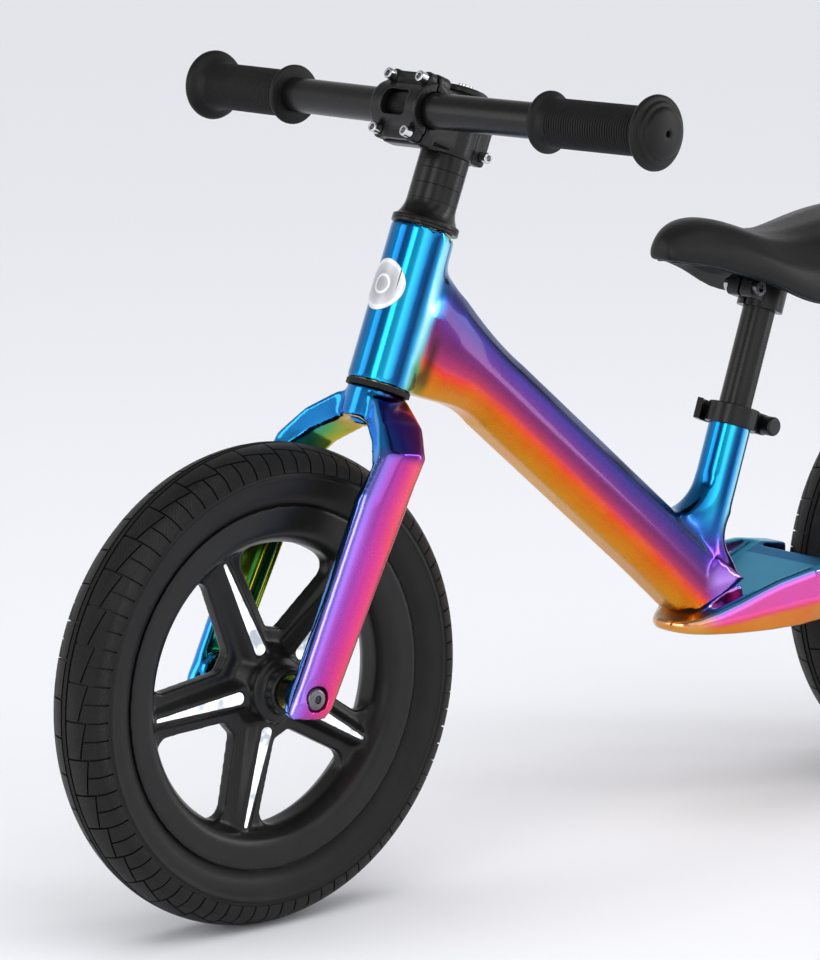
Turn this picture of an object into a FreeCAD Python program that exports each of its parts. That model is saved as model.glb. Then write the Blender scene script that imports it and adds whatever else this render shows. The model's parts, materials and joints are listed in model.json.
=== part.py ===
"""A child's balance bike as separate pieces, one STEP file per piece, in millimetres.

+X points forwards, +Y to the rider's left and +Z up. The origin is on the ground,
midway between the two tyres' contact points. The steering is straight ahead.
"""
import FreeCAD
import Part
import math
import os
from FreeCAD import Vector

# ---- Overall sizes -------------------------------------------------------------------
WHEELBASE = 634.0
WHEEL_RADIUS = 150.0
TYRE_WIDTH = 47.0

# ---- Steering geometry and head tube -------------------------------------------------
HEAD_ANGLE = 69.0
FORK_RAKE = 26.0
FORK_LENGTH = 198.5
HEAD_TUBE_LENGTH = 101.7
HEAD_TUBE_DIA = 41.6
BADGE_RADIUS = 16.6
STEERER_DIA = 25.4
STEERER_WALL = 1.8
HEADSET_BEARING_DIA = 36.0
HEADSET_BEARING_HEIGHT = 8.0
RUNNING_CLEARANCE = 0.05
RUNNING_GAP = 0.3

# ---- Headset stack and stem ----------------------------------------------------------
COVER_RIM_HEIGHT = 5.0
COVER_HEIGHT = 17.0
SPACER_DIA = 32.0
SPACER_HEIGHT = 10.0
SPACER_COUNT = 3
STEM_CLAMP_HEIGHT = 40.0
STEM_CLAMP_DIA = 33.0
STEM_REACH = 37.8
STEM_BAR_RISE = 19.8
STEM_WIDTH = 42.0
TOP_CAP_HEIGHT = 4.0

# ---- Handlebar and grips -------------------------------------------------------------
BAR_DIA = 22.2
BAR_WALL = 2.0
BAR_STRAIGHT = 50.0
BAR_BACKSWEEP = 2.87
BAR_BEND_RADIUS = 120.0
BAR_LENGTH = 422.0
GRIP_START = 117.0
GRIP_LENGTH = 96.6
GRIP_DIA = 30.0
GRIP_INNER_FLANGE_DIA = 38.1
GRIP_OUTER_FLANGE_DIA = 45.2
GRIP_RIB_COUNT = 24

# ---- Frame casting -------------------------------------------------------------------
SEAT_ANGLE = 71.5
SEAT_TUBE_TOP_X = -96.0
SEAT_TUBE_TOP_Z = 278.0
SEAT_TUBE_DIA = 29.0
SEAT_TUBE_DEPTH = 124.0
DOWN_TUBE_WIDTH = 40.0
DOWN_TUBE_DEPTH = 50.0
FOOT_FRONT_X = -39.0
FOOT_FRONT_Z = 150.0
FOOT_REAR_X = -97.0
FOOT_REAR_Z = 167.0
FOOT_WIDTH = 40.0
FOOT_FLARE = 2.5
GROOVE_HEIGHT = 4.5
GUSSET_WIDTH = 25.0

# ---- Rear yoke with footrests --------------------------------------------------------
YOKE_WIDTH = 120.0
YOKE_BOTTOM_Z = 132.0
YOKE_WALL = 5.0
YOKE_NOSE_BACK = -50.0
TYRE_CLEARANCE = 7.0
LEG_INNER_Y = 38.0
LEG_OUTER_Y = 57.0
LEG_WALL = 5.0

# ---- Hubs, axles and bearings --------------------------------------------------------
HUB_WIDTH = 60.0
HUB_NOSE_DIA = 29.0
HUB_BOSS_DIA = 41.0
WHEEL_BEARING_DIA = 21.0
WHEEL_BEARING_WIDTH = 5.0
AXLE_DIA = 12.0
AXLE_BOLT_DIA = 8.0
AXLE_BOLT_HEAD_DIA = 14.0
AXLE_RECESS_DIA = 16.0
MAGNET_DIA = 18.4
LED_RING_INNER_DIA = 21.6
LED_RING_DIA = 27.6
AXLE_SPACER_DIA = 14.6

# ---- Wheel castings ------------------------------------------------------------------
RIM_RADIUS = 113.4
RIM_WIDTH = 35.4
RIM_BED_RADIUS = 102.5
BEAD_SEAT_RADIUS = 106.2
BEAD_LIP = 2.6
WINDOW_OUTER_RADIUS = 89.0
WINDOW_INNER_RADIUS = 36.0
SPOKE_COUNT = 5
SPOKE_HUB_HALF_WIDTH = 16.0
SPOKE_RIM_HALF_WIDTH = 13.5
WEB_HALF = 5.0
RIDGE_HUB_HEIGHT = 14.5
RIDGE_RIM_HEIGHT = 9.7
RIDGE_HUB_HALF_WIDTH = 5.8
RIDGE_RIM_HALF_WIDTH = 2.6
RIDGE_HUB_FOOT = 11.5
RIDGE_RIM_FOOT = 8.0
LED_INNER_RADIUS = 24.3
LED_TIP_RADIUS = 88.3
LED_HALF_WIDTH = 4.1
LED_TIP_HALF_WIDTH = 1.1
LED_DEPTH = 2.5
FRONT_SPOKE_ANGLE = 66.3
REAR_SPOKE_ANGLE = 40.0
TYRE_WALL = 3.2
CORE_CLEARANCE = 0.5

# ---- Seat ----------------------------------------------------------------------------
SEATPOST_DIA = 22.2
SEATPOST_WALL = 1.6
SEATPOST_SHOWING = 85.0
SEATPOST_INSERTED = 72.0
COLLAR_DIA = 35.0
COLLAR_HEIGHT = 14.0
COLLAR_LIP = 3.5
COLLAR_SKEWER_BACK = 24.0
COLLAR_SKEWER_DIA = 5.0
SADDLE_CLAMP_DIA = 31.6
SADDLE_CLAMP_HEIGHT = 24.0
SADDLE_SHELL = 3.0
RAIL_DIA = 7.0
RAIL_SPACING = 30.0
RAIL_FRONT_X = -62.0
RAIL_FRONT_Z = 384.0
RAIL_REAR_X = -178.0
RAIL_REAR_Z = 366.0

# ---- Worked-out places ---------------------------------------------------------------
FRONT_HUB = Vector(WHEELBASE / 2, 0, WHEEL_RADIUS)
REAR_HUB = Vector(-WHEELBASE / 2, 0, WHEEL_RADIUS)
STEER_UP = Vector(-math.cos(math.radians(HEAD_ANGLE)), 0, math.sin(math.radians(HEAD_ANGLE)))
STEER_FORWARD = Vector(STEER_UP.z, 0, -STEER_UP.x)
HEAD_BASE = FRONT_HUB + STEER_UP * FORK_LENGTH - STEER_FORWARD * FORK_RAKE
SEAT_UP = Vector(-math.cos(math.radians(SEAT_ANGLE)), 0, math.sin(math.radians(SEAT_ANGLE)))
SEAT_TOP = Vector(SEAT_TUBE_TOP_X, 0, SEAT_TUBE_TOP_Z)
FOOT_FRONT = Vector(FOOT_FRONT_X, 0, FOOT_FRONT_Z)
FOOT_REAR = Vector(FOOT_REAR_X, 0, FOOT_REAR_Z)
STACK_TOP = HEAD_TUBE_LENGTH + COVER_HEIGHT + SPACER_COUNT * SPACER_HEIGHT
BAR_HEIGHT = STACK_TOP + STEM_BAR_RISE
X_AXIS = Vector(1, 0, 0)
Y_AXIS = Vector(0, 1, 0)
Z_AXIS = Vector(0, 0, 1)


def save(shape, node):
    """Writes one sub-part."""
    shape.exportStep("parts/" + node + ".step")


def rod(diameter, start, end):
    """A solid cylinder between two points."""
    along = end - start
    return Part.makeCylinder(diameter / 2, along.Length, start, along)


def tube(outer_dia, inner_dia, start, end):
    """A hollow cylinder between two points."""
    return rod(outer_dia, start, end).cut(rod(inner_dia, start, end))


def box_between(low, high):
    """An upright box from its lowest to its highest corner."""
    size = high - low
    return Part.makeBox(size.x, size.y, size.z, low)


def mirrored_y(shape):
    """The same shape on the rider's other side."""
    return shape.mirror(Vector(0, 0, 0), Y_AXIS)


def both_sides(shape):
    """A shape and its mirror image as separate solids."""
    return Part.makeCompound([shape, mirrored_y(shape)])


def rounded_loop(corners, radius):
    """A closed wire through flat corners, each rounded by an arc."""
    edges = []
    starts = []
    ends = []
    arcs = []
    count = len(corners)
    for i in range(count):
        corner = corners[i]
        back = (corners[i - 1] - corner).normalize()
        ahead = (corners[(i + 1) % count] - corner).normalize()
        half_angle = back.getAngle(ahead) / 2
        shortest = min((corners[i - 1] - corner).Length, (corners[(i + 1) % count] - corner).Length)
        reach = min(radius / math.tan(half_angle), 0.45 * shortest)
        fitted = reach * math.tan(half_angle)
        middle = (back + ahead).normalize() * (fitted / math.sin(half_angle) - fitted)
        starts.append(corner + back * reach)
        ends.append(corner + ahead * reach)
        arcs.append(Part.Arc(starts[-1], corner + middle, ends[-1]).toShape())
    for i in range(count):
        edges.append(arcs[i])
        edges.append(Part.LineSegment(ends[i], starts[(i + 1) % count]).toShape())
    return Part.Wire(edges)


def flat_prism(corners, along, radius=0.0):
    """A prism on a flat outline, with its upright edges rounded if a radius is given."""
    if radius > 0:
        wire = rounded_loop(corners, radius)
    else:
        wire = Part.makePolygon(corners + [corners[0]])
    return Part.Face(wire).extrude(along)


def faceted(stations):
    """A solid with flat triangular facets between rings of corners, closed at both ends."""

    def triangle(a, b, c):
        return Part.Face(Part.makePolygon([a, b, c, a]))

    faces = []
    for near, far in zip(stations, stations[1:]):
        for i in range(len(near)):
            j = (i + 1) % len(near)
            faces.append(triangle(near[i], near[j], far[j]))
            faces.append(triangle(near[i], far[j], far[i]))
    for end in (stations[0], stations[-1]):
        for i in range(1, len(end) - 1):
            faces.append(triangle(end[0], end[i], end[i + 1]))
    solid = Part.makeSolid(Part.makeShell(faces))
    if solid.Volume < 0:
        solid.reverse()
    return solid


def turned(points, axis):
    """A solid of revolution from an outline of (radius, along) pairs about the Z or Y axis."""
    if axis == "Z":
        outline = [Vector(r, 0, h) for r, h in points]
        return Part.Face(Part.makePolygon(outline + [outline[0]])).revolve(Vector(0, 0, 0), Z_AXIS, 360)
    outline = [Vector(r, h, 0) for r, h in points]
    return Part.Face(Part.makePolygon(outline + [outline[0]])).revolve(Vector(0, 0, 0), Y_AXIS, 360)


def on_steering(shape):
    """Moves a shape from the steering's own frame, +Z up the steerer and +X forwards."""
    moved = shape.copy()
    moved.rotate(Vector(0, 0, 0), Y_AXIS, HEAD_ANGLE - 90)
    moved.translate(HEAD_BASE)
    return moved


def on_seat_tube(shape):
    """Moves a shape from the seat tube's own frame, +Z up the tube and +X forwards."""
    moved = shape.copy()
    moved.rotate(Vector(0, 0, 0), Y_AXIS, SEAT_ANGLE - 90)
    moved.translate(SEAT_TOP)
    return moved


def ring(outer_dia, inner_dia, low, high):
    """A ring round the local Z axis between two heights."""
    return tube(outer_dia, inner_dia, Vector(0, 0, low), Vector(0, 0, high))


# ---- Frame ---------------------------------------------------------------------------
def tube_section(top, bottom, width):
    """One section of the down tube: narrow top, flat sides and a chamfered underside."""
    up = (top - bottom).normalize()
    depth = (top - bottom).Length
    half = width / 2
    outline = [
        (0.42 * half, depth),
        (0.86 * half, 0.82 * depth),
        (half, 0.52 * depth),
        (half, 0.17 * depth),
        (0.45 * half, 0),
    ]
    corners = [bottom + Y_AXIS * y + up * n for y, n in outline]
    corners += [bottom - Y_AXIS * y + up * n for y, n in reversed(outline)]
    return rounded_loop(corners, 0.12 * width)


def down_tube():
    """The down tube with its flare into the head tube."""
    head_top = HEAD_BASE + STEER_UP * (HEAD_TUBE_LENGTH - 6)
    head_bottom = HEAD_BASE + STEER_UP * 5
    slope = Vector(170.0, 0, 143.5).normalize()
    across = Vector(-slope.z, 0, slope.x)
    top_start = Vector(107.5, 0, 330.2)
    top_end = Vector(-33.0, 0, 219.0)
    stations = [
        (head_top, head_bottom, 1.0),
        (Vector(164.5, 0, 386.0), Vector(189.0, 0, 315.5), 1.02),
        (Vector(140.4, 0, 359.0), Vector(166.0, 0, 308.5), 1.01),
        (top_start, top_start - across * DOWN_TUBE_DEPTH, 1.0),
        (top_end, top_end - across * DOWN_TUBE_DEPTH, 1.0),
        (Vector(-96.0, 0, 168.5), Vector(-64.2, 0, 127.5), 1.0),
    ]
    sections = [tube_section(top, low, DOWN_TUBE_WIDTH * wide) for top, low, wide in stations]
    flare = Part.makeLoft(sections[:4], True, False)
    straight = Part.makeLoft(sections[3:], True, True)
    return flare.fuse(straight)


def oval_section(centre, along, half_length, half_width):
    """A rounded-rectangle section: half_length along one way and half_width across Y."""
    corners = [
        centre + along * half_length + Y_AXIS * half_width,
        centre - along * half_length + Y_AXIS * half_width,
        centre - along * half_length - Y_AXIS * half_width,
        centre + along * half_length - Y_AXIS * half_width,
    ]
    return rounded_loop(corners, 0.92 * min(half_length, half_width))


def seat_tube_foot():
    """The seat tube's base, which spreads into the foot of the frame."""
    foot_along = (FOOT_FRONT - FOOT_REAR).normalize()
    foot_centre = (FOOT_FRONT + FOOT_REAR) * 0.5
    square = Vector(-SEAT_UP.z, 0, SEAT_UP.x) * -1
    radius = SEAT_TUBE_DIA / 2
    sections = [
        oval_section(SEAT_TOP - SEAT_UP * 66, square, radius, radius),
        oval_section(SEAT_TOP - SEAT_UP * 84, square, radius, radius),
        oval_section(Vector(-67, 0, 180), foot_along, 20.0, 17.0),
        oval_section(foot_centre, foot_along, (FOOT_FRONT - FOOT_REAR).Length / 2, FOOT_WIDTH / 2),
    ]
    return Part.makeLoft(sections, True, False)


def seat_gusset():
    """The hollow-faced web in the corner between the seat tube and the down tube."""
    high = SEAT_TOP - SEAT_UP * 38
    front = Vector(SEAT_UP.z, 0, -SEAT_UP.x) * (SEAT_TUBE_DIA / 2 - 1)
    start = high + front
    low = Vector(-26.0, 0, 219.0)
    corner = SEAT_TOP - SEAT_UP * 92
    shift = Y_AXIS * -GUSSET_WIDTH / 2
    hollow = Part.Arc(start + shift, Vector(-58.0, 0, 224.5) + shift, low + shift).toShape()
    sides = [
        Part.LineSegment(low + shift, corner + shift).toShape(),
        Part.LineSegment(corner + shift, start + shift).toShape(),
    ]
    web = Part.Face(Part.Wire([hollow] + sides)).extrude(Y_AXIS * GUSSET_WIDTH)
    hollow_edges = [edge for edge in web.Edges if not isinstance(edge.Curve, Part.Line)]
    return web.makeFillet(GUSSET_WIDTH / 3, hollow_edges)


def foot_block():
    """The flared block at the bottom of the frame, whose sides lean outwards to the foot plane."""
    top = FOOT_WIDTH / 2 - 0.5
    low = FOOT_WIDTH / 2 + FOOT_FLARE
    rear = [(-89.5, low, 167.5), (-65, top, 184), (-65, -top, 184), (-89.5, -low, 167.5)]
    front = [(-43.5, low, 148), (-41, top, 160), (-41, -top, 160), (-43.5, -low, 148)]
    return faceted([[Vector(*corner) for corner in end] for end in (rear, front)])


def below_foot(lift):
    """Everything under the foot plane, raised by lift, for trimming."""
    along = (FOOT_FRONT - FOOT_REAR).normalize()
    normal = Vector(along.z, 0, -along.x) * -1
    start = FOOT_FRONT + along * 60 + normal * lift
    end = FOOT_REAR - along * 60 + normal * lift
    corners = [start, end, end - normal * 90, start - normal * 90]
    corners = [corner - Y_AXIS * 60 for corner in corners]
    return flat_prism(corners, Y_AXIS * 120)


def main_frame():
    """Head tube, down tube and seat tube as one casting."""
    head = rod(HEAD_TUBE_DIA, HEAD_BASE, HEAD_BASE + STEER_UP * HEAD_TUBE_LENGTH)
    seat = rod(SEAT_TUBE_DIA, SEAT_TOP - SEAT_UP * 100, SEAT_TOP)
    body = head.fuse([down_tube(), seat, seat_tube_foot(), seat_gusset(), foot_block()])
    body = body.cut(below_foot(0))
    steerer_way = STEERER_DIA + 4
    cup_dia = HEADSET_BEARING_DIA
    bores = [
        rod(steerer_way, HEAD_BASE - STEER_UP * 5, HEAD_BASE + STEER_UP * (HEAD_TUBE_LENGTH + 5)),
        rod(cup_dia, HEAD_BASE - STEER_UP * 5, HEAD_BASE + STEER_UP * HEADSET_BEARING_HEIGHT),
        rod(
            cup_dia,
            HEAD_BASE + STEER_UP * (HEAD_TUBE_LENGTH - HEADSET_BEARING_HEIGHT),
            HEAD_BASE + STEER_UP * (HEAD_TUBE_LENGTH + 5),
        ),
        rod(
            SEATPOST_DIA + 2 * RUNNING_CLEARANCE,
            SEAT_TOP - SEAT_UP * SEAT_TUBE_DEPTH,
            SEAT_TOP + SEAT_UP * 5,
        ),
    ]
    return body.cut(bores)


# ---- Rear yoke -----------------------------------------------------------------------
YOKE_STATIONS = [
    # x, half width as a share of the full half width, bottom, rim height
    (-32.0, 0.12, 137.0, 144.0),
    (-38.0, 0.27, 134.0, 143.5),
    (-46.0, 0.375, 133.0, 144.5),
    (-59.5, 0.505, 132.3, 150.0),
    (-74.0, 0.63, 132.0, 157.0),
    (-86.0, 0.72, 132.2, 163.0),
    (-99.0, 0.82, 132.7, 169.0),
    (-122.0, 0.95, 134.0, 175.5),
    (-155.0, 1.00, 136.5, 176.5),
    (-187.0, 1.00, 139.0, 172.0),
]


def yoke_section(x, half, low, high):
    """One cross-section of the yoke's hull, with rounded bilges."""
    tuck = 0.22 * half
    corners = [
        Vector(x, half - 0.06 * half, high),
        Vector(x, half, low + 0.45 * (high - low)),
        Vector(x, half - tuck, low),
        Vector(x, -half + tuck, low),
        Vector(x, -half, low + 0.45 * (high - low)),
        Vector(x, -half + 0.06 * half, high),
    ]
    return rounded_loop(corners, min(6.0, 0.3 * (high - low)))


def yoke_hull(inset, lift):
    """The hull through all its stations; inset and lift give the hollow above the platform."""
    sections = []
    for x, share, low, high in YOKE_STATIONS:
        half = YOKE_WIDTH / 2 * share - inset
        if half < 3 or (lift > 0 and x > YOKE_NOSE_BACK):
            continue
        if lift > 0:
            low = low + lift + max(0.0, (-85.0 - x) * 0.28)
            high = low + 60
        sections.append(yoke_section(x, half, low, high))
    return Part.makeLoft(sections, True, True)


def stay():
    """The left stay from the footrest back to its dropout."""
    top_front = 158.0
    corners = [
        Vector(-140, LEG_INNER_Y, top_front),
        Vector(-190, LEG_INNER_Y, 157.5),
        Vector(REAR_HUB.x + 4, LEG_INNER_Y, REAR_HUB.z + 16),
        Vector(REAR_HUB.x - 12, LEG_INNER_Y, REAR_HUB.z + 11),
        Vector(REAR_HUB.x - 16, LEG_INNER_Y, REAR_HUB.z - 3),
        Vector(REAR_HUB.x - 6, LEG_INNER_Y, REAR_HUB.z - 15),
        Vector(REAR_HUB.x + 12, LEG_INNER_Y, REAR_HUB.z - 16),
        Vector(-190, LEG_INNER_Y, 138.5),
        Vector(-140, LEG_INNER_Y, 137),
    ]
    plate = flat_prism(corners, Y_AXIS * (LEG_OUTER_Y - LEG_INNER_Y))
    outer = [edge for edge in plate.Edges if edge.BoundBox.YMin > LEG_OUTER_Y - 0.1]
    return plate.makeChamfer(5.0, outer)


def axle_seat(hub):
    """The cuts for one hub's axle bolts: a hole through both legs and a recess outside each."""
    reach = Y_AXIS * (LEG_OUTER_Y + 20)
    hole = rod(AXLE_BOLT_DIA + 0.4, hub - reach, hub + reach)
    recess = rod(AXLE_RECESS_DIA, hub + Y_AXIS * (LEG_OUTER_Y - 5.5), hub + reach)
    return [hole, recess, mirrored_y(recess)]


def rear_yoke():
    """Footrest platform and stays, with the pedestal that the main frame stands on."""
    hull = yoke_hull(0, 0)
    hull = hull.cut(yoke_hull(YOKE_WALL, 15.0))
    keep_clear = rod(
        2 * (WHEEL_RADIUS + TYRE_CLEARANCE),
        REAR_HUB - Y_AXIS * (TYRE_WIDTH / 2 + 9),
        REAR_HUB + Y_AXIS * (TYRE_WIDTH / 2 + 9),
    )
    neck_corners = [
        FOOT_FRONT + Vector(-6, 0, -2.2),
        FOOT_REAR + Vector(11, 0, -3.3),
        Vector(FOOT_REAR_X + 13, 0, YOKE_BOTTOM_Z + 6),
        Vector(FOOT_FRONT_X - 6, 0, YOKE_BOTTOM_Z + 6),
    ]
    half = FOOT_WIDTH / 2 - 3
    neck = flat_prism([c - Y_AXIS * half for c in neck_corners], Y_AXIS * 2 * half)
    wide = FOOT_WIDTH / 2 + 1
    slim = FOOT_WIDTH / 2 - 8
    drop = GROOVE_HEIGHT
    rear = [
        Vector(-91.5, wide, 150),
        Vector(-88.5, wide - 2, 167 - drop),
        Vector(-88.5, 2 - wide, 167 - drop),
        Vector(-91.5, -wide, 150),
    ]
    front = [
        Vector(-43, slim, 138),
        Vector(-43, slim - 1, 151.5 - drop),
        Vector(-43, 1 - slim, 151.5 - drop),
        Vector(-43, -slim, 138),
    ]
    pedestal = faceted([rear, front]).fuse(neck)
    body = hull.fuse([stay(), mirrored_y(stay())])
    body = body.cut(keep_clear)
    body = body.fuse(pedestal)
    seat_bore = rod(
        SEATPOST_DIA + 2 * RUNNING_CLEARANCE,
        SEAT_TOP - SEAT_UP * SEAT_TUBE_DEPTH,
        SEAT_TOP,
    )
    return body.cut(axle_seat(REAR_HUB) + [seat_bore])


# ---- Fork ----------------------------------------------------------------------------
CROWN_TOP = -3.5
KNEE_HEIGHT = -38.0
CROWN_DIA = 38.0
CROWN_HEIGHT = 20.0
STEERER_DEPTH = CROWN_HEIGHT - 3.0


FORK_STATIONS = [
    # rings of eight corners as (forwards, left, up): lower front, front edge, three across the
    # outer face, its rear edge, rear face and lower rear
    (
        (12, 2, -23), (15.5, 2, -7), (12, 2, -6), (4, 2, -5),
        (-8, 2, -4.5), (-12, 2, -6), (-15, 2, -8), (-14, 2, -23),
    ),
    (
        (14, 13, -26), (16.5, 18, -10.5), (13, 19.3, -9.5), (5, 20, -7.8),
        (-7, 20.5, -5.5), (-10, 20, -7), (-12.5, 18, -10), (-11, 14, -26),
    ),
    (
        (19.5, 29, -38), (22.5, 35, -25), (19, 37.5, -24), (10, 40.5, -22.5),
        (-4.5, 43, -20), (-7.5, 42, -21.5), (-9.5, 40, -24), (-6, 31, -40),
    ),
    (
        (26, 43, -54), (27, 48.5, -45), (23.5, 53, -43.5), (16, 56.5, -41.5),
        (0.5, 57, -38), (-4.5, 55.5, -39), (-6.5, 52, -40), (-5.5, 43, -54),
    ),
]


def leg_ring(front, rear, low_front, low_rear):
    """Eight corners round the left leg between its front and rear edges."""

    def corner(back, left, share):
        return Vector(front - back * (front - rear), left, low_front + share * (low_rear - low_front))

    inner = LEG_INNER_Y + LEG_WALL
    outer = LEG_OUTER_Y
    return [
        corner(0.03, inner, 0),
        corner(0.0, outer - 7.5, 0),
        corner(0.10, outer - 3, 0.1),
        corner(0.30, outer, 0.3),
        corner(0.80, outer, 0.8),
        corner(0.97, outer - 3, 0.97),
        corner(1.0, outer - 8, 1),
        corner(0.98, inner, 1),
    ]


def fork_side():
    """The left arm and leg: flat facets with a crease at the knee, and a channel inside the leg."""
    stations = [[Vector(*corner) for corner in ring_of_corners] for ring_of_corners in FORK_STATIONS]
    knee = KNEE_HEIGHT
    stations.append(leg_ring(33.5, -2.8, knee - 38, knee - 38))
    stations.append(leg_ring(41.0, 10.0, -FORK_LENGTH - 7, -FORK_LENGTH - 3))
    tip = leg_ring(40.5, 13.0, -FORK_LENGTH - 14, -FORK_LENGTH - 8)
    inset = LEG_OUTER_Y - 4.5
    stations.append([Vector(v.x, min(v.y, inset), v.z - 3 * (v.y > inset + 0.5)) for v in tip])
    side = faceted(stations)
    channel = flat_prism(
        [
            Vector(33.5 - LEG_WALL, 0, knee - 36),
            Vector(39.5 - LEG_WALL, 0, -FORK_LENGTH + 22),
            Vector(7.5 + LEG_WALL, 0, -FORK_LENGTH + 22),
            Vector(-4.0 + LEG_WALL, 0, knee - 20),
            Vector(25.0 - LEG_WALL, 0, knee - 20),
        ],
        Y_AXIS * (LEG_OUTER_Y - LEG_WALL),
        4.0,
    )
    boss = rod(
        25.0,
        Vector(FORK_RAKE, LEG_INNER_Y, -FORK_LENGTH),
        Vector(FORK_RAKE, LEG_OUTER_Y - 6, -FORK_LENGTH),
    )
    return side.cut(channel).fuse(boss)


def fork():
    """Crown and both legs as one casting, in the steering's frame."""
    crown = rod(CROWN_DIA, Vector(0, 0, CROWN_TOP - CROWN_HEIGHT), Vector(0, 0, CROWN_TOP))
    side = fork_side()
    body = crown.fuse([side, mirrored_y(side)])
    steerer_hole = rod(STEERER_DIA, Vector(0, 0, CROWN_TOP - STEERER_DEPTH), Vector(0, 0, 5))
    drain = rod(STEERER_DIA - 2 * STEERER_WALL, Vector(0, 0, CROWN_TOP - 40), Vector(0, 0, 0))
    seats = axle_seat(Vector(FORK_RAKE, 0, -FORK_LENGTH))
    return body.cut([steerer_hole, drain] + seats)


# ---- Headset -------------------------------------------------------------------------
def headset():
    """Bearings in the head tube, and the rings that turn with the steerer."""
    bearing_bore = STEERER_DIA + 2 * RUNNING_CLEARANCE
    cup = HEADSET_BEARING_DIA
    top = HEAD_TUBE_LENGTH
    save(on_steering(ring(cup, bearing_bore, RUNNING_GAP, HEADSET_BEARING_HEIGHT)), "lower_headset_bearing")
    save(
        on_steering(ring(cup, bearing_bore, top - HEADSET_BEARING_HEIGHT, top - RUNNING_GAP)),
        "upper_headset_bearing",
    )
    save(on_steering(ring(34.0, STEERER_DIA, CROWN_TOP, -RUNNING_GAP)), "crown_race")
    save(on_steering(ring(HEAD_TUBE_DIA - 0.6, 34.6, CROWN_TOP, -RUNNING_GAP)), "lower_seal")
    cover = turned(
        [
            (STEERER_DIA / 2, top + RUNNING_GAP),
            (HEAD_TUBE_DIA / 2 + 0.7, top + RUNNING_GAP),
            (HEAD_TUBE_DIA / 2 + 0.7, top + COVER_RIM_HEIGHT - 0.8),
            (HEAD_TUBE_DIA / 2 - 0.2, top + COVER_RIM_HEIGHT),
            (SPACER_DIA / 2 + 0.6, top + COVER_HEIGHT - 3),
            (SPACER_DIA / 2, top + COVER_HEIGHT),
            (STEERER_DIA / 2, top + COVER_HEIGHT),
        ],
        "Z",
    )
    save(on_steering(cover), "headset_cover")
    spacers = []
    for i in range(SPACER_COUNT):
        low = top + COVER_HEIGHT + i * SPACER_HEIGHT
        spacer = ring(SPACER_DIA, STEERER_DIA, low, low + SPACER_HEIGHT)
        rims = [edge for edge in spacer.Edges if edge.Length > 3.1 * SPACER_DIA]
        spacers.append(on_steering(spacer.makeChamfer(0.4, rims)))
    save(Part.makeCompound(spacers), "headset_spacers")
    steerer_low = CROWN_TOP - STEERER_DEPTH
    steerer_high = STACK_TOP + STEM_CLAMP_HEIGHT - 3
    steerer = ring(STEERER_DIA, STEERER_DIA - 2 * STEERER_WALL, steerer_low, steerer_high)
    save(on_steering(steerer), "steerer_tube")


# ---- Stem ----------------------------------------------------------------------------
FACEPLATE_GAP = 1.2
BOLT_SHANK_DIA = 4.0
BOLT_HEAD_DIA = 7.0
BOLT_HEAD_HEIGHT = 6.2
FACEPLATE_BOLT_Y = 14.5
FACEPLATE_BOLT_Z = 17.5
PINCH_BACK = 22.0
FACEPLATE_BOSS_DIA = 10.0


def faceplate_bolt_places():
    """The four corners of the faceplate as (y, z) in the steering's frame."""
    places = []
    for y in (-FACEPLATE_BOLT_Y, FACEPLATE_BOLT_Y):
        for z in (-FACEPLATE_BOLT_Z, FACEPLATE_BOLT_Z):
            places.append((y, BAR_HEIGHT + z))
    return places


def socket_bolt(seat, inwards, shank_length):
    """A socket-head screw whose head stands outwards from its seat."""
    head = rod(BOLT_HEAD_DIA, seat - inwards * BOLT_HEAD_HEIGHT, seat)
    rim = [edge for edge in head.Edges if edge.Closed]
    head = head.makeChamfer(0.5, rim)
    shank = rod(BOLT_SHANK_DIA, seat, seat + inwards * shank_length)
    socket = rod(3.6, seat - inwards * (BOLT_HEAD_HEIGHT + 1), seat - inwards * 2)
    return head.fuse(shank).cut(socket)


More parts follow.
